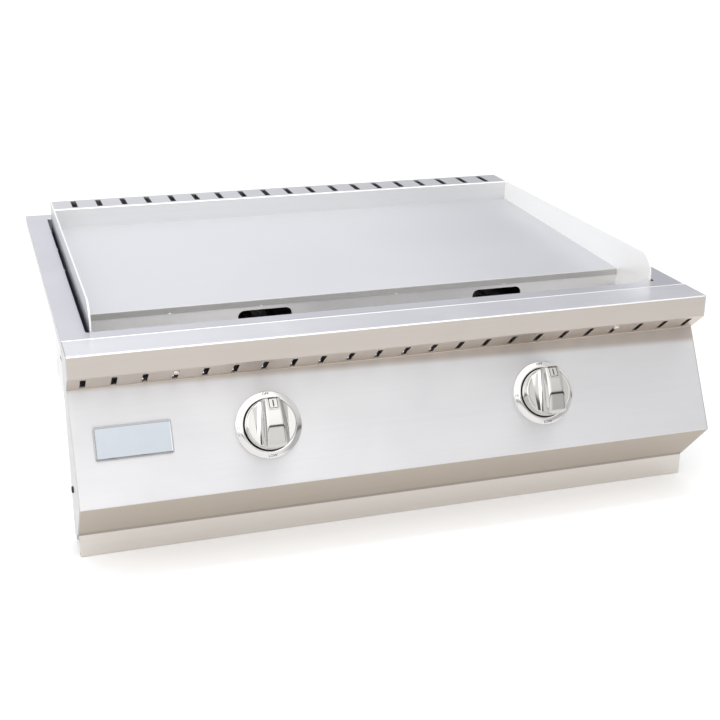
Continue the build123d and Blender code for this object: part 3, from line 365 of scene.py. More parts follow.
def wire(tree, *links):
    """Adds links, each given as a node, its output, the next node and its input."""
    for source, outlet, target, inlet in links:
        tree.links.new(source.outputs[outlet], target.inputs[inlet])


def start_group(name, inputs, outputs):
    """A node group with named sockets, and its inlet, outlet and coordinates."""
    group = bpy.data.node_groups.new(name, "ShaderNodeTree")
    for side, sockets in (("INPUT", inputs), ("OUTPUT", outputs)):
        for socket, kind in sockets.items():
            group.interface.new_socket(name=socket, in_out=side, socket_type=f"NodeSocket{kind}")
    kinds = ("NodeGroupInput", "NodeGroupOutput", "ShaderNodeTexCoord")
    return group, *(group.nodes.new(kind) for kind in kinds)


def grain_group():
    """Brush lines: fine lines and broader bands along one direction."""
    group, inlet, outlet, place = start_group(
        "Brushed grain", {"Stretch": "Vector"}, {"Tone": "Float", "Height": "Float"}
    )
    lines = add_node(group, "ShaderNodeVectorMath", operation="MULTIPLY")
    bands = add_node(group, "ShaderNodeVectorMath", {"Scale": 0.12}, operation="SCALE")
    fine = add_node(group, "ShaderNodeTexNoise", {"Scale": 1.0, "Detail": 3.0, "Roughness": 0.6})
    broad = add_node(group, "ShaderNodeTexNoise", {"Scale": 1.0, "Detail": 2.0, "Roughness": 0.5})
    blend = add_node(group, "ShaderNodeMix", {"Factor": 0.45}, data_type="FLOAT")
    wire(
        group, (place, "Object", lines, 0), (inlet, "Stretch", lines, 1), (lines, 0, bands, 0),
        (lines, 0, fine, "Vector"), (bands, 0, broad, "Vector"), (fine, "Fac", blend, "A"),
        (broad, "Fac", blend, "B"), (blend, "Result", outlet, "Tone"), (fine, "Fac", outlet, "Height"),
    )
    return group


def marks_group():
    """Faint cloudy marks of handling and wiping."""
    group, inlet, outlet, place = start_group("Handling marks", {"Scale": "Float"}, {"Mask": "Float"})
    cloud = add_node(group, "ShaderNodeTexNoise", {"Detail": 5.0, "Roughness": 0.55, "Distortion": 0.6})
    spread = add_node(group, "ShaderNodeMapRange", {"From Min": 0.38, "From Max": 0.68})
    wire(
        group, (place, "Object", cloud, "Vector"), (inlet, "Scale", cloud, "Scale"),
        (cloud, "Fac", spread, "Value"), (spread, "Result", outlet, "Mask"),
    )
    return group


def span_group(name, source, interpolation):
    """Mask by how far a coordinate reaches along a direction: none at Start, Share of it at End."""
    inputs = {"Along": "Vector", "Start": "Float", "End": "Float", "Share": "Float"}
    group, inlet, outlet, place = start_group(name, inputs, {"Mask": "Float"})
    reach = add_node(group, "ShaderNodeVectorMath", operation="DOT_PRODUCT")
    spread = add_node(group, "ShaderNodeMapRange", interpolation_type=interpolation)
    wire(
        group, (place, source, reach, 0), (inlet, "Along", reach, 1), (reach, "Value", spread, "Value"),
        (inlet, "Start", spread, "From Min"), (inlet, "End", spread, "From Max"),
        (inlet, "Share", spread, "To Max"), (spread, "Result", outlet, "Mask"),
    )
    return group


def facing_group():
    """Mask by the way that a face looks."""
    return span_group("Facing", "Normal", "LINEAR")


def level_group():
    """Mask by place."""
    return span_group("Level", "Object", "SMOOTHSTEP")


def outside_group():
    """Mask of the faces that look away from the griddle's middle, to the left or the right."""
    group, _, outlet, place = start_group("Outside", {}, {"Mask": "Float"})
    away = add_node(group, "ShaderNodeVectorMath", operation="MULTIPLY")
    split = add_node(group, "ShaderNodeSeparateXYZ")
    spread = add_node(group, "ShaderNodeMapRange", {"From Min": 0.1, "From Max": 0.25})
    wire(
        group, (place, "Normal", away, 0), (place, "Object", away, 1), (away, 0, split, 0),
        (split, "X", spread, "Value"), (spread, "Result", outlet, "Mask"),
    )
    return group


GROUPS = {}


def place_group(tree, maker, values=None):
    """Puts a shared node group, made the first time that it is asked for, into a material."""
    if maker not in GROUPS:
        GROUPS[maker] = maker()
    return add_node(tree, "ShaderNodeGroup", values, node_tree=GROUPS[maker])


def tone_colour(tree, base, tone, swing):
    """A colour, plain or linked, made lighter and darker by a tone round one half."""
    factor = add_node(tree, "ShaderNodeMapRange", {"To Min": 1.0 - swing, "To Max": 1.0 + swing})
    tree.links.new(tone, factor.inputs["Value"])
    shade = add_node(tree, "ShaderNodeVectorMath", operation="SCALE")
    if isinstance(base, bpy.types.NodeSocket):
        tree.links.new(base, shade.inputs[0])
    else:
        shade.inputs[0].default_value = base
    wire(tree, (factor, "Result", shade, "Scale"))
    return shade.outputs[0]


def lay_over(tree, base, layers):
    """Lays colours over a base, each with a mask group's maker and its values."""
    for maker, values, tint in layers:
        mix = add_node(tree, "ShaderNodeMix", {MIX_B: (*tint, 1.0)}, data_type="RGBA")
        if isinstance(base, bpy.types.NodeSocket):
            tree.links.new(base, mix.inputs[MIX_A])
        else:
            mix.inputs[MIX_A].default_value = (*base, 1.0)
        wire(tree, (place_group(tree, maker, values), "Mask", mix, "Factor"))
        base = mix.outputs[MIX_OUT]
    return base


def new_material(name):
    """A material with its node tree and its shader."""
    material = bpy.data.materials.new(name)
    material.use_nodes = True
    tree = material.node_tree
    return material, tree, tree.nodes["Principled BSDF"]


def metal(
    name, base, roughness, stretch, *layers,
    metallic=1.0, swing=0.05, rough_swing=0.06, marks=9.0, bump=0.05, smear=0.0,
):
    """Brushed metal: tone, roughness and fine relief from brush lines, with faint handling marks."""
    if name in bpy.data.materials:
        return bpy.data.materials[name]
    material, tree, shader = new_material(name)
    shader.inputs["Metallic"].default_value = metallic
    if smear:
        shader.inputs["Anisotropic"].default_value = smear
        around = add_node(tree, "ShaderNodeTangent", direction_type="RADIAL", axis="X")
        wire(tree, (around, "Tangent", shader, "Tangent"))
    grain = place_group(tree, grain_group, {"Stretch": stretch})
    cloud = place_group(tree, marks_group, {"Scale": marks})
    base = lay_over(tree, tuple(base), layers)
    tree.links.new(tone_colour(tree, base, grain.outputs["Tone"], swing), shader.inputs["Base Color"])
    lines = {1: rough_swing, 2: roughness - rough_swing}
    level = add_node(tree, "ShaderNodeMath", lines, operation="MULTIPLY_ADD")
    total = add_node(tree, "ShaderNodeMath", {1: rough_swing}, operation="MULTIPLY_ADD")
    relief = add_node(tree, "ShaderNodeBump", {"Strength": bump, "Distance": RELIEF_DEPTH})
    wire(
        tree, (grain, "Tone", level, 0), (cloud, "Mask", total, 0), (level, 0, total, 2),
        (total, 0, shader, "Roughness"), (grain, "Height", relief, "Height"),
        (relief, "Normal", shader, "Normal"),
    )
    return material


def coating(name, base, roughness, scale, swing=0.10):
    """Plastic, ceramic or ink: a dielectric with a fine uneven surface."""
    if name in bpy.data.materials:
        return bpy.data.materials[name]
    material, tree, shader = new_material(name)
    cloud = place_group(tree, marks_group, {"Scale": scale})
    tree.links.new(tone_colour(tree, tuple(base), cloud.outputs["Mask"], swing), shader.inputs["Base Color"])
    level = add_node(tree, "ShaderNodeMath", {1: COATING_SWING, 2: roughness}, operation="MULTIPLY_ADD")
    wire(tree, (cloud, "Mask", level, 0), (level, 0, shader, "Roughness"))
    return material


def brush(finish, axis):
    """Stretch of the brush lines along one axis of the griddle."""
    along = 1 / finish.grain_length
    across = 1 / finish.grain_width
    return tuple(along if step == axis else across for step in range(3))


def even(scale):
    """Grain that runs in no direction."""
    return (scale, scale, scale)


def ink_and_shade(finish):
    """Dark fill of marks, also used as painted shade on the nameplate's sides."""
    return coating("dark fill", finish.ink_and_shade, 0.55, 60.0)


def paint(material, *nodes):
    """Gives packed nodes a finish."""
    for node in nodes:
        for slot in frame["nodes"][node].material_slots:
            slot.material = material


def both(*names):
    """Left and right node names."""
    return [f"{side}_{name}" for side in SIDES for name in names]


def knob_frame(side):
    """Frame of a knob: X to the right, Y up the panel and Z out of it, from the panel's face."""
    joint = JOINTS[f"{side}_knob_turn"]
    out = Vector(joint["axis"]).normalized()
    right = Vector((1.0, 0.0, 0.0))
    up = out.cross(right)
    turn = Matrix((right, up, out)).transposed().to_4x4()
    return Matrix.Translation(Vector(joint["pos_m"])) @ turn


def make_piece(bm, name, materials, body, place=Matrix.Identity(4), replaced=()):
    """Turns a bmesh into a piece: merged, facing outwards, placed and riding on a body."""
    bmesh.ops.remove_doubles(bm, verts=bm.verts, dist=EPSILON)
    bmesh.ops.recalc_face_normals(bm, faces=bm.faces)
    bmesh.ops.transform(bm, matrix=place, verts=bm.verts)
    mesh = bpy.data.meshes.new(name)
    bm.to_mesh(mesh)
    bm.free()
    for material in materials:
        mesh.materials.append(material)
    mesh.shade_smooth()
    mesh.set_sharp_from_angle(angle=SHARP_ANGLE)
    piece = bpy.data.objects.new(name, mesh)
    bpy.context.scene.collection.objects.link(piece)
    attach(piece, body)
    if replaced:
        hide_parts(*replaced)
    return piece


def spin_profile(bm, points, closed=False):
    """Turns a profile of radius and height points round the local Z axis."""
    verts = [bm.verts.new((radius, 0.0, height)) for radius, height in points]
    pairs = list(zip(verts, verts[1:])) + ([(verts[-1], verts[0])] if closed else [])
    edges = [bm.edges.new(pair) for pair in pairs]
    bmesh.ops.spin(
        bm, geom=verts + edges, cent=(0, 0, 0), axis=(0, 0, 1), angle=2 * pi, steps=ROUND_STEPS, use_merge=True
    )


def add_coil(bm, spring):
    """Adds a closed helical wire that climbs the local Z axis."""
    stand = Matrix.Rotation(pi / 2, 4, "X") @ Matrix.Rotation(pi / COIL_SIDES, 4, "Z")
    spot = Matrix.Translation((spring.radius, 0.0, 0.0)) @ stand
    bmesh.ops.create_circle(bm, cap_ends=False, radius=spring.wire, segments=COIL_SIDES, matrix=spot)
    bmesh.ops.spin(
        bm, geom=bm.verts[:] + bm.edges[:], cent=(0, 0, 0), axis=(0, 0, 1), angle=2 * pi * spring.turns,
        dvec=(0, 0, spring.rest / COIL_RINGS), steps=COIL_RINGS,
    )
    bmesh.ops.holes_fill(bm, edges=bm.edges, sides=COIL_SIDES)


def arc(centre, radius, start, end, steps):
    """Points of an arc in a profile, by angles in degrees."""
    angles = [radians(start + (end - start) * step / steps) for step in range(steps + 1)]
    return [(centre[0] + radius * cos(angle), centre[1] + radius * sin(angle)) for angle in angles]


def grip_levels(sizes):
    """Height, flare, part of the face and inset of the grip bar's rings, from its foot to mid face."""
    rise = sizes.top - sizes.grip_edge - sizes.face
    levels = [(sizes.face - sizes.edge, 1.0, 1.0, 0.0)]
    for step in range(FLANK_STEPS + 1):
        up = step / FLANK_STEPS
        levels.append((sizes.face + rise * up, (1 - up) ** FLANK_POWER, 1.0, 0.0))
    for step in range(1, EDGE_STEPS + 1):
        angle = pi / 2 * step / EDGE_STEPS
        inset = sizes.grip_edge * (1 - cos(angle))
        height = sizes.top - sizes.grip_edge * (1 - sin(angle))
        levels.append((height, 0.0, 1 - inset / sizes.grip_top, inset))
    flat = levels[-1][2]
    for step in range(1, FACE_STEPS + 1):
        levels.append((sizes.top, 0.0, flat * (1 - step / FACE_STEPS), sizes.grip_edge))
    return levels


def add_grip(bm, sizes):
    """Raises the grip bar: rings that follow the skirt's round at both ends and hollow flanks between."""
    reach = sizes.radius - SKIRT_DRAFT - GRIP_INSET
    levels = grip_levels(sizes)
    rings = []
    for count in range(len(levels)):
        lift = Matrix.Translation((0.0, 0.0, float(count)))
        made = bmesh.ops.create_circle(bm, cap_ends=False, radius=1.0, segments=ROUND_STEPS, matrix=lift)
        rings.append(made["verts"])
    edges = [list({edge for vert in ring for edge in vert.link_edges}) for ring in rings]
    for lower, upper in zip(edges, edges[1:]):
        bmesh.ops.bridge_loops(bm, edges=lower + upper)
    bmesh.ops.contextual_create(bm, geom=edges[0])
    for ring, (height, flare, part, inset) in zip(rings, levels):
        rise = max(height - sizes.face, 0.0) / (sizes.top - sizes.face)
        for vert in ring:
            across, along = vert.co.x, vert.co.y
            y = along * (reach - inset)
            foot = sizes.grip_base * (1 - FOOT_TAPER * along)
            face = sizes.grip_top * (1 - FACE_TAPER * along) * part
            x = min(abs(across) * (reach - inset), face + (foot - face) * flare)
            crown = rise * y * y / (2 * sizes.crown)
            vert.co = (x if across > 0 else -x, y, height - crown)


def rounded_plate(width, height, thickness, corners, edge):
    """A plate round its own middle, with rounded lower and upper corners and a rounded upper rim."""
    bm = bmesh.new()
    bmesh.ops.create_cube(bm, size=1.0)
    bmesh.ops.scale(bm, verts=bm.verts, vec=(width, height, thickness))
    for low, radius in zip((True, False), corners):
        uprights = [
            item for item in bm.edges
            if abs(item.verts[0].co.z - item.verts[1].co.z) > thickness / 2
            and (item.verts[0].co.y < 0) == low
            and abs(abs(item.verts[0].co.y) - height / 2) < EPSILON
            and abs(abs(item.verts[0].co.x) - width / 2) < EPSILON
        ]
        round_edges(bm, uprights, radius, CORNER_STEPS)
    rim = [
        item for item in bm.edges
        if all(vert.co.z > 0 for vert in item.verts)
        and len({face.normal.z > 0.5 for face in item.link_faces}) == 2
    ]
    round_edges(bm, rim, edge, RIM_STEPS)
    return bm


def round_edges(bm, edges, radius, steps):
    """Rounds edges off."""
    bmesh.ops.bevel(
        bm, geom=edges, offset=radius, affect="EDGES", segments=steps, profile=0.5, material=-1
    )


def upper_face(bm):
    """The large face that looks along the local Z axis."""
    bm.normal_update()
    faces = [face for face in bm.faces if face.normal.z > 0.99]
    return max(faces, key=lambda face: face.calc_area())


class GRIDDLE_OT_sheets(bpy.types.Operator):
    """Gives the frame, rail, panel, kick plate and end caps their brushed steel, with painted floor reflection,
    shade and bend highlights
    """

    bl_idname = "griddle.sheets"
    bl_label = "Finish the sheet steel"

    def execute(self, context):
        finish = context.scene.griddle_finish
        along = brush(finish, 0)
        # Painted floor reflection and shade on the panel's down-facing faces; painted shade and reflection of
        # the vent strip along the panel's top.
        under = (facing_group, DOWN, finish.under)
        shade = (level_group, STRIP_SHADE, finish.shade)
        paint(metal("panel steel", finish.sheet, 0.55, along, under, shade, smear=0.8), "control_panel")
        sides = (outside_group, {}, finish.cap)
        # Painted highlight along the frame's and rail's bends.
        bend = (facing_group, BEND_HIGHLIGHT, finish.bend)
        paint(metal("frame steel", finish.frame, 0.36, along, sides, bend, smear=0.6), "top_frame")
        # Painted floor reflection on the rail's front-facing drop.
        drop = (facing_group, FRONT, finish.drop)
        # Painted floor reflection and shade on the rail's down-facing vent strip.
        vent = (facing_group, DOWN, finish.vent)
        paint(metal("rail steel", finish.rail, 0.34, along, drop, vent, sides, bend, smear=0.6), "front_rail")
        # The kick plate's colour is partly a painted floor reflection; the band at its top seam is painted
        # shade.
        paint(metal("kick steel", finish.kick, 0.40, along, (level_group, SEAM, SEAM_SHADE)), "kick_plate")
        paint(metal("end cap steel", finish.cap, 0.36, brush(finish, 1)), *both("end_cap"))
        paint(metal("bulkhead steel", finish.sheet, 0.5, along, metallic=0.3), "bulkhead")
        return {"FINISHED"}


class GRIDDLE_OT_vent_trim(bpy.types.Operator):
    """Makes the rolled hem under the vent strip and the tabs that show through its slots"""

    bl_idname = "griddle.vent_trim"
    bl_label = "Make the vent strip's trim"

    def execute(self, context):
        finish = context.scene.griddle_finish
        steel = metal("trim steel", finish.wall, 0.34, brush(finish, 0))
        # The hem takes the vent strip's painted reflection and shade colour.
        edge = metal("hem steel", finish.vent, 0.5, brush(finish, 0))
        hem = bmesh.new()
        spot = Matrix.Translation((0.0, RAIL_LOW.y + HEM_BACK, RAIL_HIGH.z - HEM_DROP))
        add_rod(hem, HEM_RADIUS, 2 * RAIL_HIGH.x, spot @ Matrix.Rotation(pi / 2, 4, "Y"))
        make_piece(hem, "vent_hem", [edge], "housing")
        tabs = bmesh.new()
        front, level = RAIL_LOW.y + TAB_BACK, RAIL_HIGH.z - TAB_DROP
        for count in range(TAB_FIRST, TAB_LAST + 1):
            right = (count - VENT_COUNT // 2) * VENT_PITCH + TAB_SHIFT
            for x, wide, y, deep in TAB_BARS:
                spot = Matrix.Translation((right - x, front + y, level))
                size = Matrix.Diagonal((wide, deep, TAB_THICK, 1.0))
                bmesh.ops.create_cube(tabs, size=1.0, matrix=spot @ size)
        make_piece(tabs, "vent_tabs", [steel], "housing")
        return {"FINISHED"}


def add_rod(bm, radius, depth, matrix):
    """Adds a closed rod round its own middle."""
    bmesh.ops.create_cone(
        bm, cap_ends=True, segments=ROD_SIDES, radius1=radius, radius2=radius, depth=depth, matrix=matrix
    )


def add_tack(bm, place):
    """Adds a small rippled weld."""
    made = bmesh.ops.create_uvsphere(bm, u_segments=20, v_segments=12, radius=1.0)["verts"]
    for vert in made:
        thick = WELD_RADIUS * (1 + WELD_RIPPLE * sin(WELD_WAVES * vert.co.x))
        vert.co = (vert.co.x * WELD_LENGTH, vert.co.y * thick, vert.co.z * thick)
    bmesh.ops.translate(bm, verts=made, vec=place)


class GRIDDLE_OT_cooking_top(bpy.types.Operator):
    """Finishes the griddle plate, its splash walls and the apron, with painted shade and light, and adds the
    welds
    """

    bl_idname = "griddle.cooking_top"
    bl_label = "Finish the cooking top"

    def execute(self, context):
        finish = context.scene.griddle_finish
        edge = (facing_group, SAWN, finish.edge)
        # Painted shade towards the plate's right.
        right_shade = (level_group, PLATE_RIGHT_SHADE, finish.plate_right_shade)
        along, across = brush(finish, 0), brush(finish, 1)
        ground = metal(
            "ground plate", finish.plate, 0.5, along, right_shade, edge, metallic=0.75, swing=0.03, marks=5.0
        )
        paint(ground, "griddle_plate")
        # Painted shade on the walls' outer faces below the wall top; above it they take their plain outer
        # colour.
        above_shade = (level_group, WALL_TOP, finish.outer)
        for side, faces in INNER_FACES.items():
            inner = (facing_group, faces, finish.wall)
            steel = f"{side} splash steel"
            wall = metal(steel, finish.gap_shade, 0.36, across, above_shade, inner, metallic=0.35, swing=0.03)
            paint(wall, f"{side}_splash")
        face = (facing_group, SAWN, finish.rear)
        # Painted highlight along the rear splash's bends.
        bend = (facing_group, BEND_HIGHLIGHT, finish.bend)
        paint(metal("rear splash steel", finish.ledge, 0.38, along, face, bend), "rear_splash")
        # Painted light at the apron's two ends.
        ends = [(level_group, end, finish.apron_end_light) for end in (LEFT_END_LIGHT, RIGHT_END_LIGHT)]
        apron = metal("apron steel", finish.apron, 0.45, SMEARED, *ends, metallic=0.5, swing=0.14)
        paint(apron, "front_apron")
        paint(metal("stiffener steel", finish.firebox, 0.5, across), "plate_stiffeners")
        bead = metal("weld steel", finish.wall, 0.3, even(900.0), swing=0.12)
        tacks = bmesh.new()
        for x in WELD_PLACES:
            add_tack(tacks, (x, APRON_LOW.y, APRON_HIGH.z))
        make_piece(tacks, "apron_welds", [bead], "griddle_top")
        corners = bmesh.new()
        for x in (REAR_LOW.x, REAR_HIGH.x):
            spot = Matrix.Translation((x, REAR_LOW.y, REAR_HIGH.z - BEAD_DROP))
            add_rod(corners, BEAD_RADIUS, BEAD_LENGTH, spot)
        make_piece(corners, "corner_welds", [bead], "griddle_top")
        return {"FINISHED"}


class GRIDDLE_OT_firebox(bpy.types.Operator):
    """Gives the firebox, tray and supports their plain mill finish"""

    bl_idname = "griddle.firebox"
    bl_label = "Finish the firebox"

    def execute(self, context):
        finish = context.scene.griddle_finish
        mill = metal("mill finish", finish.firebox, 0.46, brush(finish, 1), swing=0.12, rough_swing=0.12)
        paint(mill, "rear_firebox_wall", "base_pan", "heat_shield", *both("support_rail"))
        outside = (outside_group, {}, finish.sheet)
        walls = metal("firebox wall", finish.firebox, 0.42, brush(finish, 1), outside, swing=0.08)
        paint(walls, *both("firebox_wall"))
        pressed = metal("pressed tray", finish.sheet, 0.45, brush(finish, 0), metallic=0.5, swing=0.08)
        paint(pressed, "grease_tray", *both("tray_bracket"))
        return {"FINISHED"}


class GRIDDLE_OT_burners(bpy.types.Operator):
    """Gives the burner tubes, crossbar and air shutters their heat-stained steel"""

    bl_idname = "griddle.burners"
    bl_label = "Finish the burners"

    def execute(self, context):
        finish = context.scene.griddle_finish
        hot = (facing_group, DOWN, HEAT_TINT)
        stained = metal(
            "heat-stained steel", finish.burner, 0.42, brush(finish, 1), hot,
            swing=0.18, rough_swing=0.16, marks=14.0,
        )
        paint(stained, "burner_crossbar", *both("burner"))
        paint(metal("shutter steel", finish.plated, 0.38, brush(finish, 0), swing=0.08), *both("air_shutter"))
        return {"FINISHED"}


class GRIDDLE_OT_gas_line(bpy.types.Operator):
    """Finishes the manifold, valves, orifices and igniters"""

    bl_idname = "griddle.gas_line"
    bl_label = "Finish the gas line and igniters"

    def execute(self, context):
        finish = context.scene.griddle_finish
        zinc = metal("zinc plate", finish.plated, 0.36, even(300.0), swing=0.10, marks=22.0)
        paint(zinc, "manifold", "manifold_cap", "manifold_gussets", "inlet_pipe")
        paint(zinc, *both("valve_cover", "stem"))
        turned = metal("turned brass", finish.brass, 0.30, TURNED, swing=0.09, marks=30.0)
        paint(turned, "inlet_coupling", *both("valve_body", "valve_plug", "orifice"))
        paint(coating("igniter box", finish.plastic, 0.42, 160.0, 0.3), *both("piezo"))
        paint(coating("lead cover", finish.plastic, 0.5, 220.0, 0.3), *both("igniter_lead"))
        paint(coating("glazed ceramic", finish.ceramic, 0.18, 70.0, 0.06), *both("electrode"))
        return {"FINISHED"}


class GRIDDLE_OT_return_springs(bpy.types.Operator):
    """Makes the two coil springs that the knobs press together when they are pushed in"""

    bl_idname = "griddle.return_springs"
    bl_label = "Make the return springs"

    def execute(self, context):
        finish = context.scene.griddle_finish
        spring = context.scene.griddle_spring
        steel = metal("spring wire", finish.plated, 0.30, even(300.0), swing=0.08)
        for side in SIDES:
            place = knob_frame(side) @ Matrix.Translation((0.0, 0.0, -spring.depth))
            bm = bmesh.new()
            add_coil(bm, spring)
            name, hidden = f"{side}_spring_coil", [f"{side}_return_spring"]
            piece = make_piece(bm, name, [steel], f"{side}_plug", place, hidden)
            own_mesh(piece)
        return {"FINISHED"}


class GRIDDLE_OT_dial_rings(bpy.types.Operator):
    """Makes the two domed dial rings, with their wells painted dark as shade, and plain lettering"""

    bl_idname = "griddle.dial_rings"
    bl_label = "Make the dial rings"

    def execute(self, context):
        finish = context.scene.griddle_finish
        sizes = context.scene.griddle_knob
        polish = metal("ring polish", finish.ring, 0.14, even(260.0), swing=0.02, rough_swing=0.04)
        well = coating("dark well", finish.ink_and_shade, 0.6, 60.0)
        for side in SIDES:
            place = knob_frame(side)
            bm = bmesh.new()
            spin_profile(bm, ring_profile(sizes), closed=True)
            # Painted shade: the faces inside the well, below the crest, take the dark fill.
            for face in bm.faces:
                middle = face.calc_center_median()
                inside = middle.xy.length < sizes.ring_inner + WELL_MARGIN
                face.material_index = 1 if inside and middle.z < sizes.ring_height - WELL_DROP else 0
            name = f"{side}_dial_ring"
            make_piece(bm, name, [polish, well], "housing", place, [f"{side}_bezel"])
            for word, clock in DIAL_MARKS:
                spot = place @ mark_place(sizes, clock)
                lettering(f"{side}_mark_{word.lower()}", word, spot, sizes.letter, ink_and_shade(finish))
        return {"FINISHED"}


def dome_point(sizes, part_up):
    """Radius and height on the dial ring's domed flank, from the lip at 0 to the crest at 1."""
    crest = sizes.ring_inner + CREST_WIDTH
    radius = sizes.ring_radius + (crest - sizes.ring_radius) * part_up
    height = sizes.ring_lip + (sizes.ring_height - sizes.ring_lip) * (1 - (1 - part_up) ** DOME_POWER)
    return radius, height


def ring_profile(sizes):
    """Closed section of the dial ring: floor, rounded lip, domed flank, crest and well."""
    flank = [dome_point(sizes, step / DOME_STEPS) for step in range(2, DOME_STEPS + 1)]
    inner, height, floor = sizes.ring_inner, sizes.ring_height, sizes.ring_floor
    lip = dome_point(sizes, LIP_ROUND / (sizes.ring_radius - inner - CREST_WIDTH))[1]
    return [
        (sizes.ring_bore, 0.0),
        (sizes.ring_radius, 0.0),
        *arc((sizes.ring_radius - LIP_ROUND, lip - LIP_ROUND), LIP_ROUND, 0, 75, LIP_STEPS),
        *flank,
        *((inner + inwards, height - down) for inwards, down in CREST_ROUND),
        (inner, floor),
        (sizes.ring_bore, floor),
    ]


def mark_place(sizes, clock):
    """Frame of a mark that lies upright on the dial ring's flank at a clock angle in degrees."""
    low, high = Vector(dome_point(sizes, MARK_FROM)), Vector(dome_point(sizes, MARK_TO))
    slope = atan2(high.y - low.y, low.x - high.x)
    turn = radians(clock)
    normal = Vector((sin(slope) * cos(turn), sin(slope) * sin(turn), cos(slope)))
    right = (Vector((1.0, 0.0, 0.0)) - normal * normal.x).normalized()
    up = normal.cross(right)
    spot = (low + high) / 2
    place = Matrix((right, up, normal)).transposed().to_4x4()
    place.translation = Vector((spot.x * cos(turn), spot.x * sin(turn), spot.y))
    return place


def lettering(name, word, place, height, material):
    """Sets a short word as thin filled letters."""
    curve = bpy.data.curves.new(name, "FONT")
    curve.body = word
    curve.size = height * LETTER_SCALE
    curve.align_x = "CENTER"
    curve.align_y = "CENTER"
    curve.extrude = LETTER_DEPTH
    text = bpy.data.objects.new(name + ".text", curve)
    bpy.context.scene.collection.objects.link(text)
    mesh = bpy.data.meshes.new_from_object(text)
    bpy.data.objects.remove(text)
    bm = bmesh.new()
    bm.from_mesh(mesh)
    bpy.data.meshes.remove(mesh)
    make_piece(bm, name, [material], "housing", place)


def skirt_profile(sizes):
    """Open section of the knob's hollow skirt, from its inner roof round the edge to its face."""
    rim = sizes.radius - SKIRT_DRAFT - sizes.edge
    hollow, roof = sizes.radius - sizes.wall, sizes.face - sizes.wall
    face = sizes.face - FACE_SINK
    return [
        (0.0, roof),
        (hollow, roof),
        (hollow, sizes.start),
        (sizes.radius, sizes.start),
        *arc((rim, sizes.face - sizes.edge), sizes.edge, 0, 90, EDGE_STEPS),
        *((rim - inset, face) for inset in SKIRT_LOOPS),
        (0.0, face),
    ]


class GRIDDLE_OT_knobs(bpy.types.Operator):
    """Makes the two chrome knobs: hollow skirt, hollow-flanked grip bar, raised pad and pointer line"""

    bl_idname = "griddle.knobs"
    bl_label = "Make the knobs"

    def execute(self, context):
        finish = context.scene.griddle_finish
        sizes = context.scene.griddle_knob
        chrome = metal(
            "knob chrome", finish.chrome, 0.06, even(200.0), swing=0.01, rough_swing=0.02, bump=0.0
        )
        middle = sizes.radius - SKIRT_DRAFT - PAD_GAP - sizes.pad_length / 2
        level = sizes.top - middle * middle / (2 * sizes.crown) + sizes.pad_height - PAD_DEPTH / 2
        lean = Matrix.Rotation(-middle / sizes.crown, 4, "X")
        spot = Matrix.Translation((0.0, middle, level)) @ lean
        rise = Matrix.Translation((0.0, 0.0, PAD_DEPTH / 2 - POINTER_SINK))
        dark = ink_and_shade(finish)
        for side in SIDES:
            place = knob_frame(side)
            rider = f"{side}_knob_set"
            bm = bmesh.new()
            spin_profile(bm, skirt_profile(sizes))
            add_grip(bm, sizes)
            make_piece(bm, f"{side}_grip_knob", [chrome], rider, place, [f"{side}_knob"])
            pad = rounded_plate(sizes.pad_width, sizes.pad_length, PAD_DEPTH, PAD_CORNERS, PAD_EDGE)
            bmesh.ops.inset_individual(pad, faces=[upper_face(pad)], thickness=PAD_BORDER)
            line = bmesh.ops.inset_individual(pad, faces=[upper_face(pad)], thickness=PAD_LINE)
            for face in line["faces"]:
                face.material_index = 1
            make_piece(pad, f"{side}_knob_pad", [chrome, dark], rider, place @ spot)
            mark = rounded_plate(*POINTER_SIZE, POINTER_CORNERS, POINTER_EDGE)
            name = f"{side}_knob_pointer"
            make_piece(mark, name, [dark], rider, place @ spot @ rise)
        return {"FINISHED"}


class GRIDDLE_OT_nameplate(bpy.types.Operator):
    """Makes the bare nameplate: a raised polished rim, darkened as a painted reflection, round an etched field,
    with the lower part of its side walls painted dark as shade
    """

    bl_idname = "griddle.nameplate"
    bl_label = "Make the bare nameplate"

    def execute(self, context):
        finish = context.scene.griddle_finish
        sizes = context.scene.griddle_badge
        low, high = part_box("nameplate")
        place = knob_frame("left")
        place.translation = (low + high) / 2
        corners = (sizes.corner, sizes.corner)
        bm = rounded_plate(sizes.width, sizes.height, sizes.thickness, corners, BADGE_EDGE)
        bmesh.ops.inset_individual(bm, faces=[upper_face(bm)], thickness=sizes.rim)
        bmesh.ops.inset_individual(bm, faces=[upper_face(bm)], thickness=BADGE_SLOPE, depth=-sizes.recess)
        upper_face(bm).material_index = 1
        # Painted shade: the lower part of the plate's side walls takes the dark fill.
        for face in bm.faces:
            if abs(face.normal.z) < 0.2 and face.calc_center_median().z < 0:
                face.material_index = 2
        # The rim's polished steel is darkened as a painted reflection.
        rim = metal("nameplate rim", finish.rim, 0.16, even(400.0), swing=0.03)
        field = metal(
            "nameplate field", finish.badge, 0.34, even(700.0), swing=0.06, rough_swing=0.05, marks=60.0
        )
        steels = [rim, field, ink_and_shade(finish)]
        make_piece(bm, "bare_nameplate", steels, "housing", place, ["nameplate"])
        return {"FINISHED"}


class GRIDDLE_OT_screws(bpy.types.Operator):
    """Gives the screws their bright or blackened steel"""

    bl_idname = "griddle.screws"
    bl_label = "Finish the screws"

    def execute(self, context):
        finish = context.scene.griddle_finish
        bright = metal("screw steel", finish.wall, 0.24, even(500.0))
        paint(bright, "wall_screws", "bezel_screws")
        paint(metal("rail screw steel", finish.screw, 0.32, even(500.0)), "rail_screws")
        paint(metal("black screw", finish.black, 0.42, even(500.0), swing=0.15), "cap_screws")
        return {"FINISHED"}


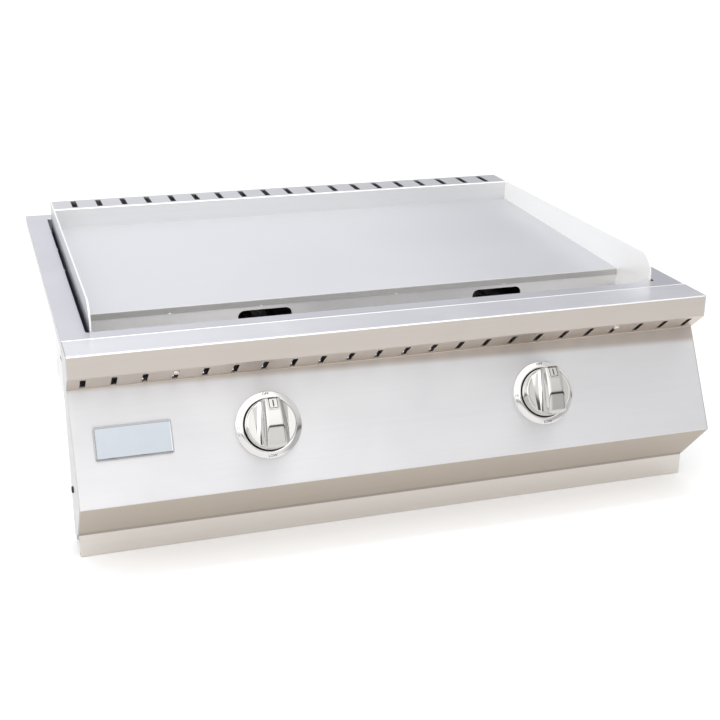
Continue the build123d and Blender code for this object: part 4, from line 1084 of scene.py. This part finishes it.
def set_stops(ramp, stops):
    """Fills a colour ramp with positions and colours in rising order."""
    elements = ramp.color_ramp.elements
    while len(elements) < len(stops):
        elements.new(1.0)
    for element, (position, tint) in zip(elements, stops):
        element.position = position
        element.color = (*tint, 1.0)


def sky_half(tree, split, lane, stops, sides):
    """Colour of the sky behind or in front, by height and from left to right."""
    rise, side = add_node(tree, "ShaderNodeValToRGB"), add_node(tree, "ShaderNodeValToRGB")
    set_stops(rise, stops)
    set_stops(side, [(position, (level, level, level)) for position, level in sides])
    lit = add_node(tree, "ShaderNodeVectorMath", operation="MULTIPLY")
    wire(
        tree, (split, "Z", rise, "Fac"), (lane, "Result", side, "Fac"), (rise, "Color", lit, 0),
        (side, "Color", lit, 1),
    )
    return lit.outputs[0]


def sky_world(studio):
    """Studio light by direction, with one dark line, and a white backdrop where the camera sees the sky."""
    world = bpy.data.worlds.new("studio")
    bpy.context.scene.world = world
    world.use_nodes = True
    tree = world.node_tree
    background = tree.nodes["Background"]
    background.inputs["Strength"].default_value = studio.sky
    place = add_node(tree, "ShaderNodeTexCoord")
    split = add_node(tree, "ShaderNodeSeparateXYZ")
    ahead = add_node(tree, "ShaderNodeMapRange", {"From Min": SKY_BLEND, "From Max": -SKY_BLEND})
    lane = add_node(tree, "ShaderNodeMapRange", {"From Min": -1.0, "From Max": 1.0})
    mix = add_node(tree, "ShaderNodeMix", data_type="RGBA")
    tree.links.new(sky_half(tree, split, lane, SKY_BACK, BACK_SIDE), mix.inputs[MIX_A])
    tree.links.new(sky_half(tree, split, lane, SKY_FRONT, FRONT_SIDE), mix.inputs[MIX_B])
    edge = add_node(tree, "ShaderNodeMath", {1: NOTCH_SLOPE}, operation="MULTIPLY_ADD")
    near = add_node(tree, "ShaderNodeMath", operation="ABSOLUTE")
    notch = add_node(tree, "ShaderNodeMapRange", NOTCH)
    shade = add_node(tree, "ShaderNodeVectorMath", operation="SCALE")
    backdrop = add_node(tree, "ShaderNodeBackground", {"Color": WHITE})
    path = add_node(tree, "ShaderNodeLightPath")
    seen = add_node(tree, "ShaderNodeMixShader")
    wire(
        tree, (place, "Generated", split, 0), (split, "Y", ahead, "Value"), (split, "X", lane, "Value"),
        (ahead, "Result", mix, "Factor"), (split, "Y", edge, 0), (split, "Z", edge, 2), (edge, 0, near, 0),
        (near, 0, notch, "Value"), (mix, MIX_OUT, shade, 0), (notch, "Result", shade, "Scale"),
        (shade, 0, background, "Color"), (path, "Is Camera Ray", seen, 0), (background, 0, seen, 1),
        (backdrop, 0, seen, 2), (seen, 0, tree.nodes["World Output"], "Surface"),
    )


def floor_material(studio):
    """Plain pale floor with a little glow for the rays that show it."""
    material, tree, shader = new_material("studio floor")
    shader.inputs["Base Color"].default_value = (*studio.floor, 1.0)
    shader.inputs["Roughness"].default_value = FLOOR_ROUGHNESS
    shader.inputs["Specular IOR Level"].default_value = FLOOR_SHINE
    shader.inputs["Emission Color"].default_value = WHITE
    path = add_node(tree, "ShaderNodeLightPath")
    seen = add_node(tree, "ShaderNodeMath", operation="MAXIMUM")
    glow = add_node(tree, "ShaderNodeMath", {1: studio.glow}, operation="MULTIPLY")
    wire(
        tree, (path, "Is Camera Ray", seen, 0), (path, "Is Glossy Ray", seen, 1), (seen, 0, glow, 0),
        (glow, 0, shader, "Emission Strength"),
    )
    return material


def area_lamp(name, place, target, size, power):
    """A soft rectangular lamp that faces a point."""
    lamp = bpy.data.lights.new(name, "AREA")
    lamp.shape = "RECTANGLE"
    lamp.size, lamp.size_y = size
    lamp.energy = power
    holder = bpy.data.objects.new(name, lamp)
    holder.location = place
    holder.rotation_euler = (Vector(target) - Vector(place)).to_track_quat("-Z", "Y").to_euler()
    bpy.context.scene.collection.objects.link(holder)


class GRIDDLE_OT_studio(bpy.types.Operator):
    """Sets the camera, pale floor, soft lamps and even sky"""

    bl_idname = "griddle.studio"
    bl_label = "Set the studio"

    def execute(self, context):
        studio = context.scene.griddle_studio
        scene = context.scene
        scene.view_settings.view_transform = "Standard"
        sky_world(studio)
        bm = bmesh.new()
        bmesh.ops.create_grid(bm, x_segments=1, y_segments=1, size=FLOOR_SIZE)
        mesh = bpy.data.meshes.new("studio_floor")
        bm.to_mesh(mesh)
        bm.free()
        mesh.materials.append(floor_material(studio))
        floor = bpy.data.objects.new("studio_floor", mesh)
        scene.collection.objects.link(floor)
        for name, spot, target, size, power in LAMPS:
            area_lamp(name, spot, target, size, getattr(studio, power))
        camera = bpy.data.cameras.new("camera")
        camera.lens = studio.lens
        camera.sensor_width = SENSOR_WIDTH
        camera.clip_end = FAR_CLIP
        holder = bpy.data.objects.new("camera", camera)
        scene.collection.objects.link(holder)
        tilt = Matrix.Rotation(pi / 2 + studio.pitch, 4, "X") @ Matrix.Rotation(studio.roll, 4, "Z")
        turn = Matrix.Rotation(-studio.yaw, 4, "Z")
        holder.matrix_world = Matrix.Translation(studio.place) @ turn @ tilt
        scene.camera = holder
        return {"FINISHED"}


OPERATORS = (
    GRIDDLE_OT_studio,
    GRIDDLE_OT_sheets,
    GRIDDLE_OT_vent_trim,
    GRIDDLE_OT_cooking_top,
    GRIDDLE_OT_firebox,
    GRIDDLE_OT_burners,
    GRIDDLE_OT_gas_line,
    GRIDDLE_OT_return_springs,
    GRIDDLE_OT_dial_rings,
    GRIDDLE_OT_knobs,
    GRIDDLE_OT_nameplate,
    GRIDDLE_OT_screws,
)
SETTINGS = {
    "griddle_finish": GriddleFinish,
    "griddle_knob": KnobSizes,
    "griddle_spring": SpringSizes,
    "griddle_badge": BadgeSizes,
    "griddle_studio": StudioSettings,
}


class GRIDDLE_PT_panel(bpy.types.Panel):
    """Lists the griddle's settings and the steps that dress it"""

    bl_idname = "GRIDDLE_PT_panel"
    bl_label = "Built-in gas griddle"
    bl_space_type = "VIEW_3D"
    bl_region_type = "UI"
    bl_category = "Griddle"

    def draw(self, context):
        layout = self.layout
        for operator in OPERATORS:
            layout.operator(operator.bl_idname)
        for name, group in SETTINGS.items():
            column = layout.column()
            column.label(text=group.__doc__)
            for key in group.__annotations__:
                column.prop(getattr(context.scene, name), key)


CLASSES = (*SETTINGS.values(), *OPERATORS, GRIDDLE_PT_panel)


def register():
    for item in CLASSES:
        bpy.utils.register_class(item)
    for name, group in SETTINGS.items():
        setattr(bpy.types.Scene, name, PointerProperty(type=group))


def unregister():
    for name in SETTINGS:
        delattr(bpy.types.Scene, name)
    for item in reversed(CLASSES):
        bpy.utils.unregister_class(item)


def main():
    register()
    bpy.ops.griddle.studio()
    bpy.ops.griddle.sheets()
    bpy.ops.griddle.vent_trim()
    bpy.ops.griddle.cooking_top()
    bpy.ops.griddle.firebox()
    bpy.ops.griddle.burners()
    bpy.ops.griddle.gas_line()
    bpy.ops.griddle.return_springs()
    bpy.ops.griddle.dial_rings()
    bpy.ops.griddle.knobs()
    bpy.ops.griddle.nameplate()
    bpy.ops.griddle.screws()


if __name__ == "__main__":
    main()
